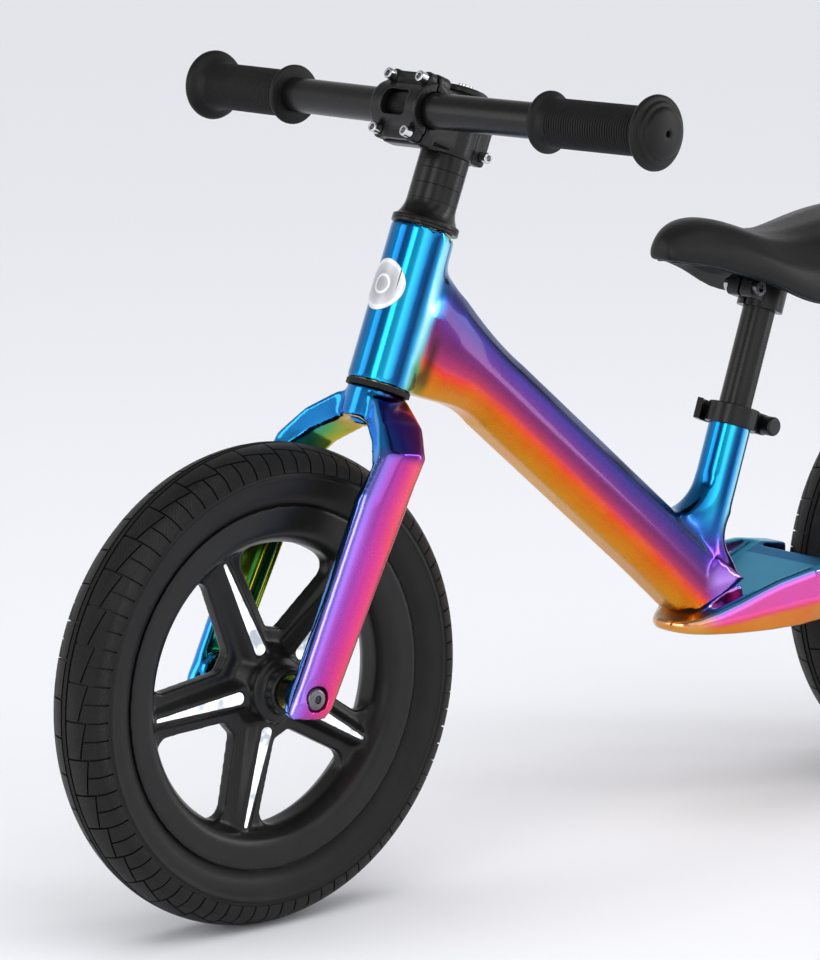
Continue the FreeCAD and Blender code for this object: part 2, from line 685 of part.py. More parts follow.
def stem():
    """Stem body, faceplate and their screws."""
    low = STACK_TOP
    high = STACK_TOP + STEM_CLAMP_HEIGHT
    bar_low = Vector(STEM_REACH, -STEM_WIDTH / 2, BAR_HEIGHT)
    bar_high = Vector(STEM_REACH, STEM_WIDTH / 2, BAR_HEIGHT)
    split = STEM_REACH + FACEPLATE_GAP
    clamp = rod(STEM_CLAMP_DIA, Vector(0, 0, low), Vector(0, 0, high))
    neck = flat_prism(
        [
            Vector(0, -15, low + 3),
            Vector(split, -15, BAR_HEIGHT - 17),
            Vector(split, -15, BAR_HEIGHT + 17),
            Vector(0, -15, high - 2),
        ],
        Y_AXIS * 30,
    )
    lug_box = box_between(
        Vector(STEM_REACH - 9, -STEM_WIDTH / 2 + 1, BAR_HEIGHT - 23),
        Vector(split, STEM_WIDTH / 2 - 1, BAR_HEIGHT + 23),
    )
    barrel = rod(BAR_DIA + 11, bar_low, bar_high)
    ahead = box_between(Vector(split, -60, low - 40), Vector(split + 60, 60, high + 60))
    pinch = box_between(Vector(-PINCH_BACK - 5, -9, low + 1), Vector(-10, 9, high - 3))
    edges = [edge for edge in pinch.Edges if edge.BoundBox.XMax < -PINCH_BACK]
    pinch = pinch.makeFillet(4.0, edges)
    lugs = lug_box.makeFillet(5.0, [e for e in lug_box.Edges if e.BoundBox.XLength > 5])
    body = clamp.fuse([neck, lugs, barrel, pinch]).cut(ahead)
    pinch_seats = [low + 7.5, high - 10.0]
    cuts = [
        rod(STEERER_DIA, Vector(0, 0, low - 5), Vector(0, 0, high + 5)),
        rod(BAR_DIA, bar_low - Y_AXIS * 5, bar_high + Y_AXIS * 5),
        box_between(Vector(-PINCH_BACK - 10, -1, low - 5), Vector(-8, 1, high + 5)),
    ]
    pinch_bolts = []
    for z in pinch_seats:
        seat = Vector(-PINCH_BACK, 9, z)
        pinch_bolts.append(socket_bolt(seat, -Y_AXIS, 16.0))
        cuts.append(rod(BOLT_SHANK_DIA, Vector(-PINCH_BACK, -20, z), Vector(-PINCH_BACK, 20, z)))
    face_seat = STEM_REACH + 8.5
    face_bolts = []
    for y, z in faceplate_bolt_places():
        face_bolts.append(socket_bolt(Vector(face_seat, y, z), -X_AXIS, 19.0))
        cuts.append(rod(BOLT_SHANK_DIA, Vector(face_seat - 19.0, y, z), Vector(face_seat, y, z)))
    body = body.cut(cuts)
    save(on_steering(body), "stem")
    plate = rod(BAR_DIA + 11, bar_low, bar_high)
    for y, z in faceplate_bolt_places():
        plate = plate.fuse(rod(FACEPLATE_BOSS_DIA, Vector(STEM_REACH, y, z), Vector(face_seat, y, z)))
    for side in (-1, 1):
        web = box_between(
            Vector(STEM_REACH, -FACEPLATE_BOLT_Y, BAR_HEIGHT + side * FACEPLATE_BOLT_Z - 4),
            Vector(STEM_REACH + 8, FACEPLATE_BOLT_Y, BAR_HEIGHT + side * FACEPLATE_BOLT_Z + 4),
        )
        plate = plate.fuse(web)
    behind = box_between(Vector(-60, -60, low - 60), Vector(split + FACEPLATE_GAP, 60, high + 60))
    window = flat_prism(
        [
            Vector(STEM_REACH, -11, BAR_HEIGHT - 8),
            Vector(STEM_REACH, 11, BAR_HEIGHT - 8),
            Vector(STEM_REACH, 11, BAR_HEIGHT + 8),
            Vector(STEM_REACH, -11, BAR_HEIGHT + 8),
        ],
        X_AXIS * 40,
        4.0,
    )
    heads = [
        rod(BOLT_HEAD_DIA + 0.6, Vector(face_seat, y, z), Vector(face_seat + 30, y, z))
        for y, z in faceplate_bolt_places()
    ]
    plate = plate.cut([behind, window] + cuts[1:2] + cuts[-4:] + heads)
    save(on_steering(plate), "stem_faceplate")
    save(Part.makeCompound([on_steering(bolt) for bolt in face_bolts]), "faceplate_bolts")
    save(Part.makeCompound([on_steering(bolt) for bolt in pinch_bolts]), "stem_pinch_bolts")
    cap = ring(SPACER_DIA, 6.0, high, high + TOP_CAP_HEIGHT)
    top_edges = [e for e in cap.Edges if e.Closed and e.BoundBox.ZMin > high + 1 and e.Length > 60]
    cap = cap.makeChamfer(1.2, top_edges)
    save(on_steering(cap), "top_cap")
    cap_bolt = rod(10.0, Vector(0, 0, high + TOP_CAP_HEIGHT), Vector(0, 0, high + TOP_CAP_HEIGHT + 3))
    cap_bolt = cap_bolt.fuse(rod(6.0, Vector(0, 0, high - 30), Vector(0, 0, high + TOP_CAP_HEIGHT)))
    cap_bolt = cap_bolt.cut(rod(5.0, Vector(0, 0, high + TOP_CAP_HEIGHT + 1), Vector(0, 0, high + 20)))
    save(on_steering(cap_bolt), "top_cap_bolt")
    star = ring(STEERER_DIA - 2 * STEERER_WALL, 6.0, high - 28, high - 22)
    save(on_steering(star), "star_nut")


# ---- Handlebar -----------------------------------------------------------------------
def bar_centre():
    """The middle of the handlebar in the row's frame."""
    return HEAD_BASE + STEER_UP * BAR_HEIGHT + STEER_FORWARD * STEM_REACH


def bar_outwards():
    """The direction of the handlebar's left end."""
    sweep = math.radians(BAR_BACKSWEEP)
    return Vector(-math.sin(sweep), math.cos(sweep), 0)


def bar_path():
    """Points of the handlebar's centre line on the left: middle, bend start, middle and end, tip."""
    centre = bar_centre()
    sweep = math.radians(BAR_BACKSWEEP)
    bend = BAR_STRAIGHT / 2
    start = centre + Y_AXIS * bend
    pivot = start - X_AXIS * BAR_BEND_RADIUS
    half_way = pivot + Vector(math.cos(sweep / 2), math.sin(sweep / 2), 0) * BAR_BEND_RADIUS
    end = pivot + Vector(math.cos(sweep), math.sin(sweep), 0) * BAR_BEND_RADIUS
    tip = end + bar_outwards() * ((BAR_LENGTH / 2 - end.y) / math.cos(sweep))
    return start, half_way, end, tip


def flipped(point):
    """A point mirrored to the right side."""
    return Vector(point.x, -point.y, point.z)


def bar_sweep(diameter):
    """A round bar along the whole centre line."""
    start, half_way, end, tip = bar_path()
    edges = [
        Part.LineSegment(flipped(tip), flipped(end)).toShape(),
        Part.Arc(flipped(end), flipped(half_way), flipped(start)).toShape(),
        Part.LineSegment(flipped(start), start).toShape(),
        Part.Arc(start, half_way, end).toShape(),
        Part.LineSegment(end, tip).toShape(),
    ]
    path = Part.Wire(edges)
    along = (flipped(end) - flipped(tip)).normalize()
    profile = Part.Wire(Part.Circle(flipped(tip), along, diameter / 2).toShape())
    return path.makePipeShell([profile], True, True)


def grip():
    """The left grip: ribbed sleeve, inner flange and a large domed end flange."""
    outline = [(BAR_DIA / 2, 0), (GRIP_INNER_FLANGE_DIA / 2 - 1, 0), (GRIP_INNER_FLANGE_DIA / 2, 1)]
    outline += [(GRIP_INNER_FLANGE_DIA / 2, 4), (GRIP_INNER_FLANGE_DIA / 2 - 2, 5.5), (GRIP_DIA / 2, 9)]
    pitch = (GRIP_LENGTH - 27) / GRIP_RIB_COUNT
    for i in range(GRIP_RIB_COUNT):
        low = 10 + i * pitch
        outline += [(GRIP_DIA / 2 - 0.7, low), (GRIP_DIA / 2 - 0.7, low + 0.3 * pitch)]
        outline += [(GRIP_DIA / 2, low + 0.5 * pitch), (GRIP_DIA / 2, low + 0.9 * pitch)]
    big = GRIP_OUTER_FLANGE_DIA / 2
    end = GRIP_LENGTH
    outline += [(GRIP_DIA / 2, end - 16), (big - 3, end - 11), (big, end - 8.5), (big, end - 5.5)]
    outline += [(big - 1.5, end - 3.5), (big - 4.5, end - 2.5), (big - 6, end - 2.5), (big - 7.5, end)]
    outline += [(big - 12, end + 1.2), (2, end + 1.2), (2, end - 2), (BAR_DIA / 2, end - 2)]
    shape = turned(outline, "Z")
    start, half_way, bend_end, tip = bar_path()
    along = bar_outwards()
    base = bar_centre()
    place = bend_end + along * ((GRIP_START - (bend_end.y - base.y)) / along.y)
    shape.Placement = FreeCAD.Placement(place, FreeCAD.Rotation(Z_AXIS, along)).multiply(shape.Placement)
    return shape


def handlebar():
    """Handlebar tube and its grips."""
    save(bar_sweep(BAR_DIA).cut(bar_sweep(BAR_DIA - 2 * BAR_WALL)), "handlebar")
    left = grip()
    save(left, "left_grip")
    save(mirrored_y(left), "right_grip")


# ---- Wheels --------------------------------------------------------------------------
def spoke_point(angle, radius, side, y):
    """A point in the wheel: along a spoke's centre line and sideways across it."""
    a = math.radians(angle)
    along = Vector(math.cos(a), 0, math.sin(a))
    across = Vector(-math.sin(a), 0, math.cos(a))
    return along * radius + across * side + Y_AXIS * y


def spoke_angles(first):
    """Every spoke's angle, from +X towards +Z."""
    return [first + i * 360.0 / SPOKE_COUNT for i in range(SPOKE_COUNT)]


def window(angle):
    """The opening between the spoke at this angle and the next one."""
    following = angle + 360.0 / SPOKE_COUNT
    middle = math.radians(angle + 180.0 / SPOKE_COUNT)
    outer_run = math.sqrt(WINDOW_OUTER_RADIUS**2 - SPOKE_RIM_HALF_WIDTH**2)
    inner_run = math.sqrt(WINDOW_INNER_RADIUS**2 - SPOKE_HUB_HALF_WIDTH**2)
    outer_a = spoke_point(angle, outer_run, SPOKE_RIM_HALF_WIDTH, -30)
    outer_b = spoke_point(following, outer_run, -SPOKE_RIM_HALF_WIDTH, -30)
    inner_a = spoke_point(angle, inner_run, SPOKE_HUB_HALF_WIDTH, -30)
    inner_b = spoke_point(following, inner_run, -SPOKE_HUB_HALF_WIDTH, -30)
    outer_mid = Vector(math.cos(middle), 0, math.sin(middle)) * WINDOW_OUTER_RADIUS - Y_AXIS * 30
    inner_mid = Vector(math.cos(middle), 0, math.sin(middle)) * WINDOW_INNER_RADIUS - Y_AXIS * 30
    edges = [
        Part.Arc(outer_a, outer_mid, outer_b).toShape(),
        Part.LineSegment(outer_b, inner_b).toShape(),
        Part.Arc(inner_b, inner_mid, inner_a).toShape(),
        Part.LineSegment(inner_a, outer_a).toShape(),
    ]
    prism = Part.Face(Part.Wire(edges)).extrude(Y_AXIS * 60)
    outer_edges = []
    inner_edges = []
    for edge in prism.Edges:
        if edge.BoundBox.YLength > 59:
            reach = math.hypot(edge.Vertexes[0].X, edge.Vertexes[0].Z)
            if reach > (WINDOW_OUTER_RADIUS + WINDOW_INNER_RADIUS) / 2:
                outer_edges.append(edge)
            else:
                inner_edges.append(edge)
    rounded = prism.makeFillet(9.0, outer_edges)
    inner_edges = [
        edge
        for edge in rounded.Edges
        if edge.BoundBox.YLength > 59
        and edge.BoundBox.XLength < 0.01
        and edge.BoundBox.ZLength < 0.01
        and math.hypot(edge.Vertexes[0].X, edge.Vertexes[0].Z) < WINDOW_INNER_RADIUS + 0.5
    ]
    return rounded.makeFillet(3.5, inner_edges)


def ridge_height(radius):
    """How far a spoke's ridge stands from the wheel's middle plane at a radius."""
    slope = (RIDGE_HUB_HEIGHT - RIDGE_RIM_HEIGHT) / (WINDOW_OUTER_RADIUS - LED_INNER_RADIUS)
    return RIDGE_HUB_HEIGHT - slope * (radius - LED_INNER_RADIUS)


def led_strip(angle):
    """One light strip let into the left face of a spoke."""

    def face_point(radius, side):
        return spoke_point(angle, radius, side, ridge_height(radius) + 0.5)

    corners = [
        face_point(LED_INNER_RADIUS, LED_HALF_WIDTH),
        face_point(LED_TIP_RADIUS, LED_TIP_HALF_WIDTH),
        face_point(LED_TIP_RADIUS, -LED_TIP_HALF_WIDTH),
        face_point(LED_INNER_RADIUS, -LED_HALF_WIDTH),
    ]
    return flat_prism(corners, -Y_AXIS * LED_DEPTH, LED_HALF_WIDTH)


def spoke_ridge(angle):
    """The raised ridge on the left face of a spoke, with sloping flanks."""
    sections = []
    for radius, foot, crest in (
        (HUB_BOSS_DIA / 2 - 4, RIDGE_HUB_FOOT, RIDGE_HUB_HALF_WIDTH),
        (WINDOW_OUTER_RADIUS + 4, RIDGE_RIM_FOOT, RIDGE_RIM_HALF_WIDTH),
    ):
        high = ridge_height(radius)
        corners = [
            spoke_point(angle, radius, foot, 0),
            spoke_point(angle, radius, foot, WEB_HALF - 0.5),
            spoke_point(angle, radius, crest, high),
            spoke_point(angle, radius, -crest, high),
            spoke_point(angle, radius, -foot, WEB_HALF - 0.5),
            spoke_point(angle, radius, -foot, 0),
        ]
        sections.append(Part.makePolygon(corners + [corners[0]]))
    return Part.makeLoft(sections, True, True)


def wheel_casting(first_angle, strips):
    """Rim, spokes and hub shell as one casting."""
    rim_half = RIM_WIDTH / 2
    nose = HUB_WIDTH / 2
    bearing = WHEEL_BEARING_DIA / 2
    seat = nose - 1 - WHEEL_BEARING_WIDTH
    outside = [
        (RIM_BED_RADIUS, 0),
        (RIM_BED_RADIUS, rim_half - 9),
        (BEAD_SEAT_RADIUS, rim_half - 7),
        (BEAD_SEAT_RADIUS, rim_half - BEAD_LIP),
        (RIM_RADIUS - 0.5, rim_half - BEAD_LIP),
        (RIM_RADIUS, rim_half - 2),
        (RIM_RADIUS, rim_half - 0.4),
        (RIM_RADIUS - 1, rim_half),
        (98, rim_half - 0.7),
        (94.5, rim_half - 2.4),
        (91.5, rim_half - 6.5),
        (WINDOW_OUTER_RADIUS + 0.5, WEB_HALF + 2),
        (WINDOW_OUTER_RADIUS - 2, WEB_HALF),
        (HUB_BOSS_DIA / 2 + 7, WEB_HALF),
        (HUB_BOSS_DIA / 2 + 1, RIDGE_HUB_HEIGHT),
        (HUB_BOSS_DIA / 2, 20.0),
        (HUB_BOSS_DIA / 2 - 1, 21.0),
        (HUB_NOSE_DIA / 2, 21.5),
        (HUB_NOSE_DIA / 2, nose - 1),
        (HUB_NOSE_DIA / 2 - 1, nose),
        (bearing + 0.6, nose),
        (bearing, nose - 0.6),
        (bearing, seat),
        (8.6, seat),
        (8.6, 15.0),
        (14.0, 15.0),
        (14.0, 0),
    ]
    half = turned(outside, "Y").fuse([spoke_ridge(angle) for angle in spoke_angles(first_angle)])
    half = half.cut(Part.makeCylinder(8.6, HUB_WIDTH, Vector(0, 0, 0), Y_AXIS))
    half = half.cut(Part.makeCylinder(14.0, 15.0, Vector(0, 0, 0), Y_AXIS))
    body = half.fuse(half.mirror(Vector(0, 0, 0), Y_AXIS))
    body = body.cut([window(angle) for angle in spoke_angles(first_angle)])
    return body.cut(strips).removeSplitter()


def tyre():
    """The tyre: beads inside the rim, bulged side walls and a rounded tread."""
    rim_half = RIM_WIDTH / 2 - BEAD_LIP
    top = WHEEL_RADIUS
    half = TYRE_WIDTH / 2
    shoulder_r = top - 8.5
    shoulder_y = half - 3.0
    bead_r = BEAD_SEAT_RADIUS + 0.2

    def point(r, y):
        return Vector(r, y, 0)

    def arc(a, b, c):
        return Part.Arc(point(*a), point(*b), point(*c)).toShape()

    def line(a, b):
        return Part.LineSegment(point(*a), point(*b)).toShape()

    inner_top = top - TYRE_WALL - 0.8
    edges = []
    for side in (1, -1):
        edges += [
            arc((top, 0), (top - 2.0, side * 0.52 * shoulder_y), (shoulder_r, side * shoulder_y)),
            arc(
                (shoulder_r, side * shoulder_y),
                (131.0, side * half),
                (RIM_RADIUS + 0.8, side * (rim_half + 1.5)),
            ),
            line((RIM_RADIUS + 0.8, side * (rim_half + 1.5)), (RIM_RADIUS + 0.4, side * (rim_half + 0.3))),
            line((RIM_RADIUS + 0.4, side * (rim_half + 0.3)), (RIM_RADIUS - 0.5, side * rim_half)),
            line((RIM_RADIUS - 0.5, side * rim_half), (bead_r, side * rim_half)),
            line((bead_r, side * rim_half), (bead_r, side * (rim_half - 5.0))),
            line((bead_r, side * (rim_half - 5.0)), (RIM_RADIUS, side * (rim_half - 3.5))),
            arc(
                (RIM_RADIUS, side * (rim_half - 3.5)),
                (129.0, side * (half - TYRE_WALL)),
                (shoulder_r - TYRE_WALL, side * (shoulder_y - TYRE_WALL)),
            ),
            arc(
                (shoulder_r - TYRE_WALL, side * (shoulder_y - TYRE_WALL)),
                (inner_top - 1.6, side * 0.5 * shoulder_y),
                (inner_top, 0),
            ),
        ]
    wire = Part.Wire(Part.__sortEdges__(edges))
    return Part.Face(wire).revolve(Vector(0, 0, 0), Y_AXIS, 360)


def tyre_core():
    """The foam ring that fills the tyre, so that it needs no valve."""
    centre = (WHEEL_RADIUS - TYRE_WALL + RIM_BED_RADIUS) / 2 + 4.5
    fat = (WHEEL_RADIUS - TYRE_WALL - RIM_BED_RADIUS) / 2 - 5.65 - CORE_CLEARANCE
    return Part.makeTorus(centre, fat, Vector(0, 0, 0), Y_AXIS)


def wheel(prefix, hub, first_angle):
    """Every piece that turns with one wheel."""
    left = [led_strip(angle) for angle in spoke_angles(first_angle)]
    strips = left + [mirrored_y(strip) for strip in left]
    nose = HUB_WIDTH / 2
    bearings = []
    for side in (-1, 1):
        outer = side * (nose - 1)
        inner = side * (nose - 1 - WHEEL_BEARING_WIDTH)
        bearing_bore = AXLE_DIA + 2 * RUNNING_CLEARANCE
        bearings.append(tube(WHEEL_BEARING_DIA, bearing_bore, Y_AXIS * inner, Y_AXIS * outer))
    pieces = {
        "wheel": wheel_casting(first_angle, strips),
        "led_strips": Part.makeCompound(strips),
        "led_ring": tube(LED_RING_DIA, LED_RING_INNER_DIA, Y_AXIS * -12, Y_AXIS * 12),
        "hub_bearings": Part.makeCompound(bearings),
        "tyre": tyre(),
        "tyre_core": tyre_core(),
    }
    for name, shape in pieces.items():
        shape.translate(hub)
        save(shape, prefix + "_" + name)


def axle(prefix, hub):
    """The axle, its bolts, spacers and the magnet core, which stay still."""
    nose = HUB_WIDTH / 2
    bearing_face = nose - 1
    axle_tube = tube(AXLE_DIA, AXLE_BOLT_DIA, Y_AXIS * -LEG_INNER_Y, Y_AXIS * LEG_INNER_Y)
    spacer = tube(AXLE_SPACER_DIA, AXLE_DIA, Y_AXIS * (bearing_face + 0.1), Y_AXIS * LEG_INNER_Y)
    magnet = tube(MAGNET_DIA - 2.4, AXLE_DIA, Y_AXIS * -10, Y_AXIS * 10)
    seat = LEG_OUTER_Y - 5.5
    head = rod(AXLE_BOLT_HEAD_DIA, Y_AXIS * seat, Y_AXIS * (seat + 4.4))
    top = [edge for edge in head.Edges if edge.Closed and edge.BoundBox.YMin > seat + 1]
    head = head.makeFillet(2.6, top)
    shank = rod(AXLE_BOLT_DIA, Y_AXIS * 14, Y_AXIS * seat)
    socket = rod(5.2, Y_AXIS * (seat + 1.6), Y_AXIS * (seat + 6))
    bolt = head.fuse(shank).cut(socket)
    pieces = {
        "axle": axle_tube,
        "axle_spacers": both_sides(spacer),
        "magnet_core": magnet,
        "axle_bolts": both_sides(bolt),
    }
    for name, shape in pieces.items():
        shape.translate(hub)
        save(shape, prefix + "_" + name)


# ---- Seat ----------------------------------------------------------------------------
SADDLE_STATIONS = [
    # x, half width at the skirt, skirt height, top height
    (-22.0, 9.0, 384.5, 397.0),
    (-28.0, 15.0, 384.0, 404.5),
    (-38.0, 22.0, 382.5, 409.3),
    (-50.0, 29.5, 380.0, 411.5),
    (-65.0, 37.0, 375.5, 410.5),
    (-80.0, 43.5, 371.0, 406.5),
    (-95.0, 48.5, 365.0, 402.0),
    (-112.0, 52.0, 357.0, 399.6),
    (-130.0, 55.0, 351.0, 399.8),
    (-150.0, 60.0, 348.5, 402.3),
    (-172.0, 66.0, 350.0, 406.0),
    (-205.0, 70.0, 357.0, 411.0),
    (-228.0, 60.0, 370.0, 411.5),
    (-241.0, 37.0, 384.0, 406.0),
]


def saddle_section(x, half, low, high, shrink):
    """One cross-section of the saddle: a rounded arch on a straight skirt."""
    half = half - shrink
    rise = high - low - shrink
    corners = [
        Vector(x, half, low),
        Vector(x, 0.93 * half, low + 0.45 * rise),
        Vector(x, 0.60 * half, low + 0.88 * rise),
        Vector(x, 0.22 * half, low + rise),
        Vector(x, -0.22 * half, low + rise),
        Vector(x, -0.60 * half, low + 0.88 * rise),
        Vector(x, -0.93 * half, low + 0.45 * rise),
        Vector(x, -half, low),
    ]
    return rounded_loop(corners, 0.3 * rise)


def saddle_solid(shrink, drop):
    """The saddle's envelope, shrunk by the cover's thickness for the pieces inside it."""
    stations = SADDLE_STATIONS if shrink == 0 else SADDLE_STATIONS[1:-1]
    sections = [saddle_section(x, half, low - drop, high, shrink) for x, half, low, high in stations]
    return Part.makeLoft(sections, True, False)


def post_top():
    """Height of the seatpost's top above the seat tube's top."""
    return SEATPOST_SHOWING + SADDLE_CLAMP_HEIGHT - 14


def seatpost():
    """The seatpost and the plug in its lower end."""
    low = -SEATPOST_INSERTED
    save(on_seat_tube(ring(SEATPOST_DIA, SEATPOST_DIA - 2 * SEATPOST_WALL, low, post_top())), "seatpost")
    plug = ring(SEATPOST_DIA - 0.4, 6.0, low - 2, low).fuse(
        ring(SEATPOST_DIA - 2 * SEATPOST_WALL, 6.0, low, low + 8)
    )
    save(on_seat_tube(plug), "seatpost_plug")


def rail(side):
    """One saddle rail, level from side to side and rising towards the nose."""
    y = side * RAIL_SPACING / 2
    return rod(RAIL_DIA, Vector(RAIL_REAR_X, y, RAIL_REAR_Z), Vector(RAIL_FRONT_X, y, RAIL_FRONT_Z))


def saddle_clamp():
    """The ring on the post, its bolt ears in front and the cradle that holds the rails."""
    high = post_top()
    low = high - SADDLE_CLAMP_HEIGHT
    bolt_x = SADDLE_CLAMP_DIA / 2 + 3.0
    bolt_z = low + 11
    post_way = rod(SEATPOST_DIA, Vector(0, 0, low - 5), Vector(0, 0, high))
    ears = box_between(Vector(10, -11, bolt_z - 7), Vector(bolt_x + 5.5, 11, bolt_z + 7))
    front_edges = [e for e in ears.Edges if e.BoundBox.XMin > bolt_x + 5 and e.BoundBox.YLength > 5]
    ears = ears.makeFillet(4.0, front_edges)
    body = rod(SADDLE_CLAMP_DIA, Vector(0, 0, low), Vector(0, 0, high + 4)).fuse(ears).cut(post_way)
    body = body.cut(
        [
            rod(6.0, Vector(bolt_x, -30, bolt_z), Vector(bolt_x, 30, bolt_z)),
            box_between(Vector(8, -1, bolt_z - 20), Vector(bolt_x + 20, 1, bolt_z + 12)),
        ]
    )
    top = SEAT_TOP + SEAT_UP * high
    slope = (RAIL_FRONT_Z - RAIL_REAR_Z) / (RAIL_FRONT_X - RAIL_REAR_X)
    rail_z = RAIL_REAR_Z + slope * (top.x - RAIL_REAR_X)
    cradle = box_between(
        Vector(top.x - 15, -RAIL_SPACING / 2 - 5, rail_z - 6),
        Vector(top.x + 15, RAIL_SPACING / 2 + 5, rail_z + 2),
    )
    cradle = cradle.makeFillet(2.0, [e for e in cradle.Edges if e.BoundBox.ZLength > 5])
    cradle = cradle.cut(on_seat_tube(rod(SEATPOST_DIA, Vector(0, 0, low - 5), Vector(0, 0, high))))
    return on_seat_tube(body).fuse(cradle).cut([rail(-1), rail(1)]), bolt_x, bolt_z


def saddle_base(inside):
    """The moulded shell under the cover, with the blocks that hold the rails' ends."""
    base = saddle_solid(6.0, 0).common(inside)
    shell = base.cut(saddle_solid(6.0 + SADDLE_SHELL, 6.0))
    half = RAIL_SPACING / 2 + 5
    blocks = [
        box_between(Vector(RAIL_FRONT_X - 6, -half, RAIL_FRONT_Z - 4), Vector(RAIL_FRONT_X + 2, half, 420)),
        box_between(Vector(RAIL_REAR_X - 2, -half, RAIL_REAR_Z - 5), Vector(RAIL_REAR_X + 8, half, 420)),
    ]
    for block in blocks:
        shell = shell.fuse(block.common(base))
    return shell.cut([rail(-1), rail(1)])


def saddle():
    """Writes the saddle's pieces and its clamp."""
    inside = saddle_solid(6.0, 20.0)
    save(saddle_solid(0, 0).cut(inside), "saddle_cover")
    save(saddle_base(inside), "saddle_base")
    save(Part.makeCompound([rail(-1), rail(1)]), "saddle_rails")
    clamp, bolt_x, bolt_z = saddle_clamp()
    save(clamp, "saddle_clamp")
    shank = rod(6.0, Vector(bolt_x, -15, bolt_z), Vector(bolt_x, 11, bolt_z))
    head = rod(9.6, Vector(bolt_x, 11, bolt_z), Vector(bolt_x, 15, bolt_z))
    head = head.cut(rod(5.0, Vector(bolt_x, 13, bolt_z), Vector(bolt_x, 16, bolt_z)))
    nut = tube(10.0, 6.0, Vector(bolt_x, -15, bolt_z), Vector(bolt_x, -11, bolt_z))
    save(on_seat_tube(head.fuse(shank)), "saddle_clamp_bolt")
    save(on_seat_tube(nut), "saddle_clamp_nut")


# ---- Seat collar with its quick release ----------------------------------------------
LEVER_SWING_RADIUS = COLLAR_DIA / 2 + 4.0
LEVER_THICKNESS = 4.0
EAR_HALF = 8.0


def collar():
    """Collar, skewer, nut and lever round the top of the seat tube."""
    low = -COLLAR_HEIGHT + COLLAR_LIP
    high = COLLAR_LIP
    middle = (low + high) / 2
    band = ring(COLLAR_DIA, SEAT_TUBE_DIA, low, 0)
    lip = ring(COLLAR_DIA, SEATPOST_DIA + 1.2, 0, high)
    ears = box_between(Vector(-COLLAR_SKEWER_BACK - 6, -EAR_HALF, low), Vector(-12, EAR_HALF, high))
    rear = [e for e in ears.Edges if e.BoundBox.XMax < -COLLAR_SKEWER_BACK - 5 and e.BoundBox.YLength > 5]
    ears = ears.makeFillet(5.0, rear)
    ears = ears.cut(rod(SEAT_TUBE_DIA, Vector(0, 0, low), Vector(0, 0, 0)))
    ears = ears.cut(rod(SEATPOST_DIA + 1.2, Vector(0, 0, 0), Vector(0, 0, high)))
    skewer_at = Vector(-COLLAR_SKEWER_BACK, 0, middle)
    body = band.fuse([lip, ears])
    body = body.cut(
        [
            box_between(Vector(-60, -1.2, low - 1), Vector(-8, 1.2, high + 1)),
            rod(COLLAR_SKEWER_DIA, skewer_at - Y_AXIS * 20, skewer_at + Y_AXIS * 20),
        ]
    )
    save(on_seat_tube(body), "seat_collar")
    pin_at = skewer_at - Y_AXIS * (EAR_HALF + 8)
    skewer = rod(COLLAR_SKEWER_DIA, pin_at, skewer_at + Y_AXIS * (EAR_HALF + 9))
    pin = rod(7.0, pin_at - Z_AXIS * 6, pin_at + Z_AXIS * 6)
    save(on_seat_tube(skewer.fuse(pin)), "collar_skewer")
    nut = rod(13.0, skewer_at + Y_AXIS * EAR_HALF, skewer_at + Y_AXIS * (EAR_HALF + 10))
    nut = nut.makeChamfer(1.0, [e for e in nut.Edges if e.Closed and e.BoundBox.YMin > EAR_HALF + 5])
    nut = nut.cut(skewer)
    save(on_seat_tube(nut), "collar_nut")
    lever_low = middle - COLLAR_HEIGHT / 2
    lever_high = middle + COLLAR_HEIGHT / 2
    cam = rod(12.0, pin_at - Z_AXIS * (middle - lever_low), pin_at + Z_AXIS * (lever_high - middle))
    sweep = ring(
        2 * (LEVER_SWING_RADIUS + LEVER_THICKNESS),
        2 * LEVER_SWING_RADIUS,
        lever_low,
        lever_high,
    )
    wedge = flat_prism(
        [
            Vector(0, 0, lever_low),
            Vector(-42, -28, lever_low),
            Vector(-20, -60, lever_low),
            Vector(30, -60, lever_low),
            Vector(36, -36, lever_low),
        ],
        Z_AXIS * COLLAR_HEIGHT,
    )
    blade = sweep.common(wedge)
    lever = cam.fuse(blade)
    lever = lever.cut(
        [
            rod(7.0 + 2 * RUNNING_CLEARANCE, pin_at - Z_AXIS * 10, pin_at + Z_AXIS * 10),
            box_between(
                pin_at - Vector(9, 9, COLLAR_SKEWER_DIA / 2 + 0.4),
                pin_at + Vector(COLLAR_SKEWER_DIA / 2 + 0.4, 12, COLLAR_SKEWER_DIA / 2 + 0.4),
            ),
        ]
    )
    save(on_seat_tube(lever), "collar_lever")


def head_badge():
    """A plain round badge curved round the front of the head tube."""
    thickness = 0.6
    height = 60.0
    oval = Part.Ellipse(Vector(0, 0, 0), BADGE_RADIUS, BADGE_RADIUS * 0.89).toShape()
    disc = Part.Face(Part.Wire(oval)).extrude(Z_AXIS * 60)
    disc.rotate(Vector(0, 0, 0), Y_AXIS, 90)
    disc.translate(Vector(0, 0, height))
    shell = ring(HEAD_TUBE_DIA + 2 * thickness, HEAD_TUBE_DIA, height - 20, height + 20)
    return on_steering(shell.common(disc))


os.makedirs("parts", exist_ok=True)
save(main_frame(), "main_frame")
save(rear_yoke(), "rear_yoke")
save(head_badge(), "head_badge")
headset()
save(on_steering(fork()), "fork")
stem()
handlebar()
for side_name, side_hub, spoke_start in (
    ("front", FRONT_HUB, FRONT_SPOKE_ANGLE),
    ("rear", REAR_HUB, REAR_SPOKE_ANGLE),
):
    wheel(side_name, side_hub, spoke_start)
    axle(side_name, side_hub)
collar()
seatpost()
saddle()
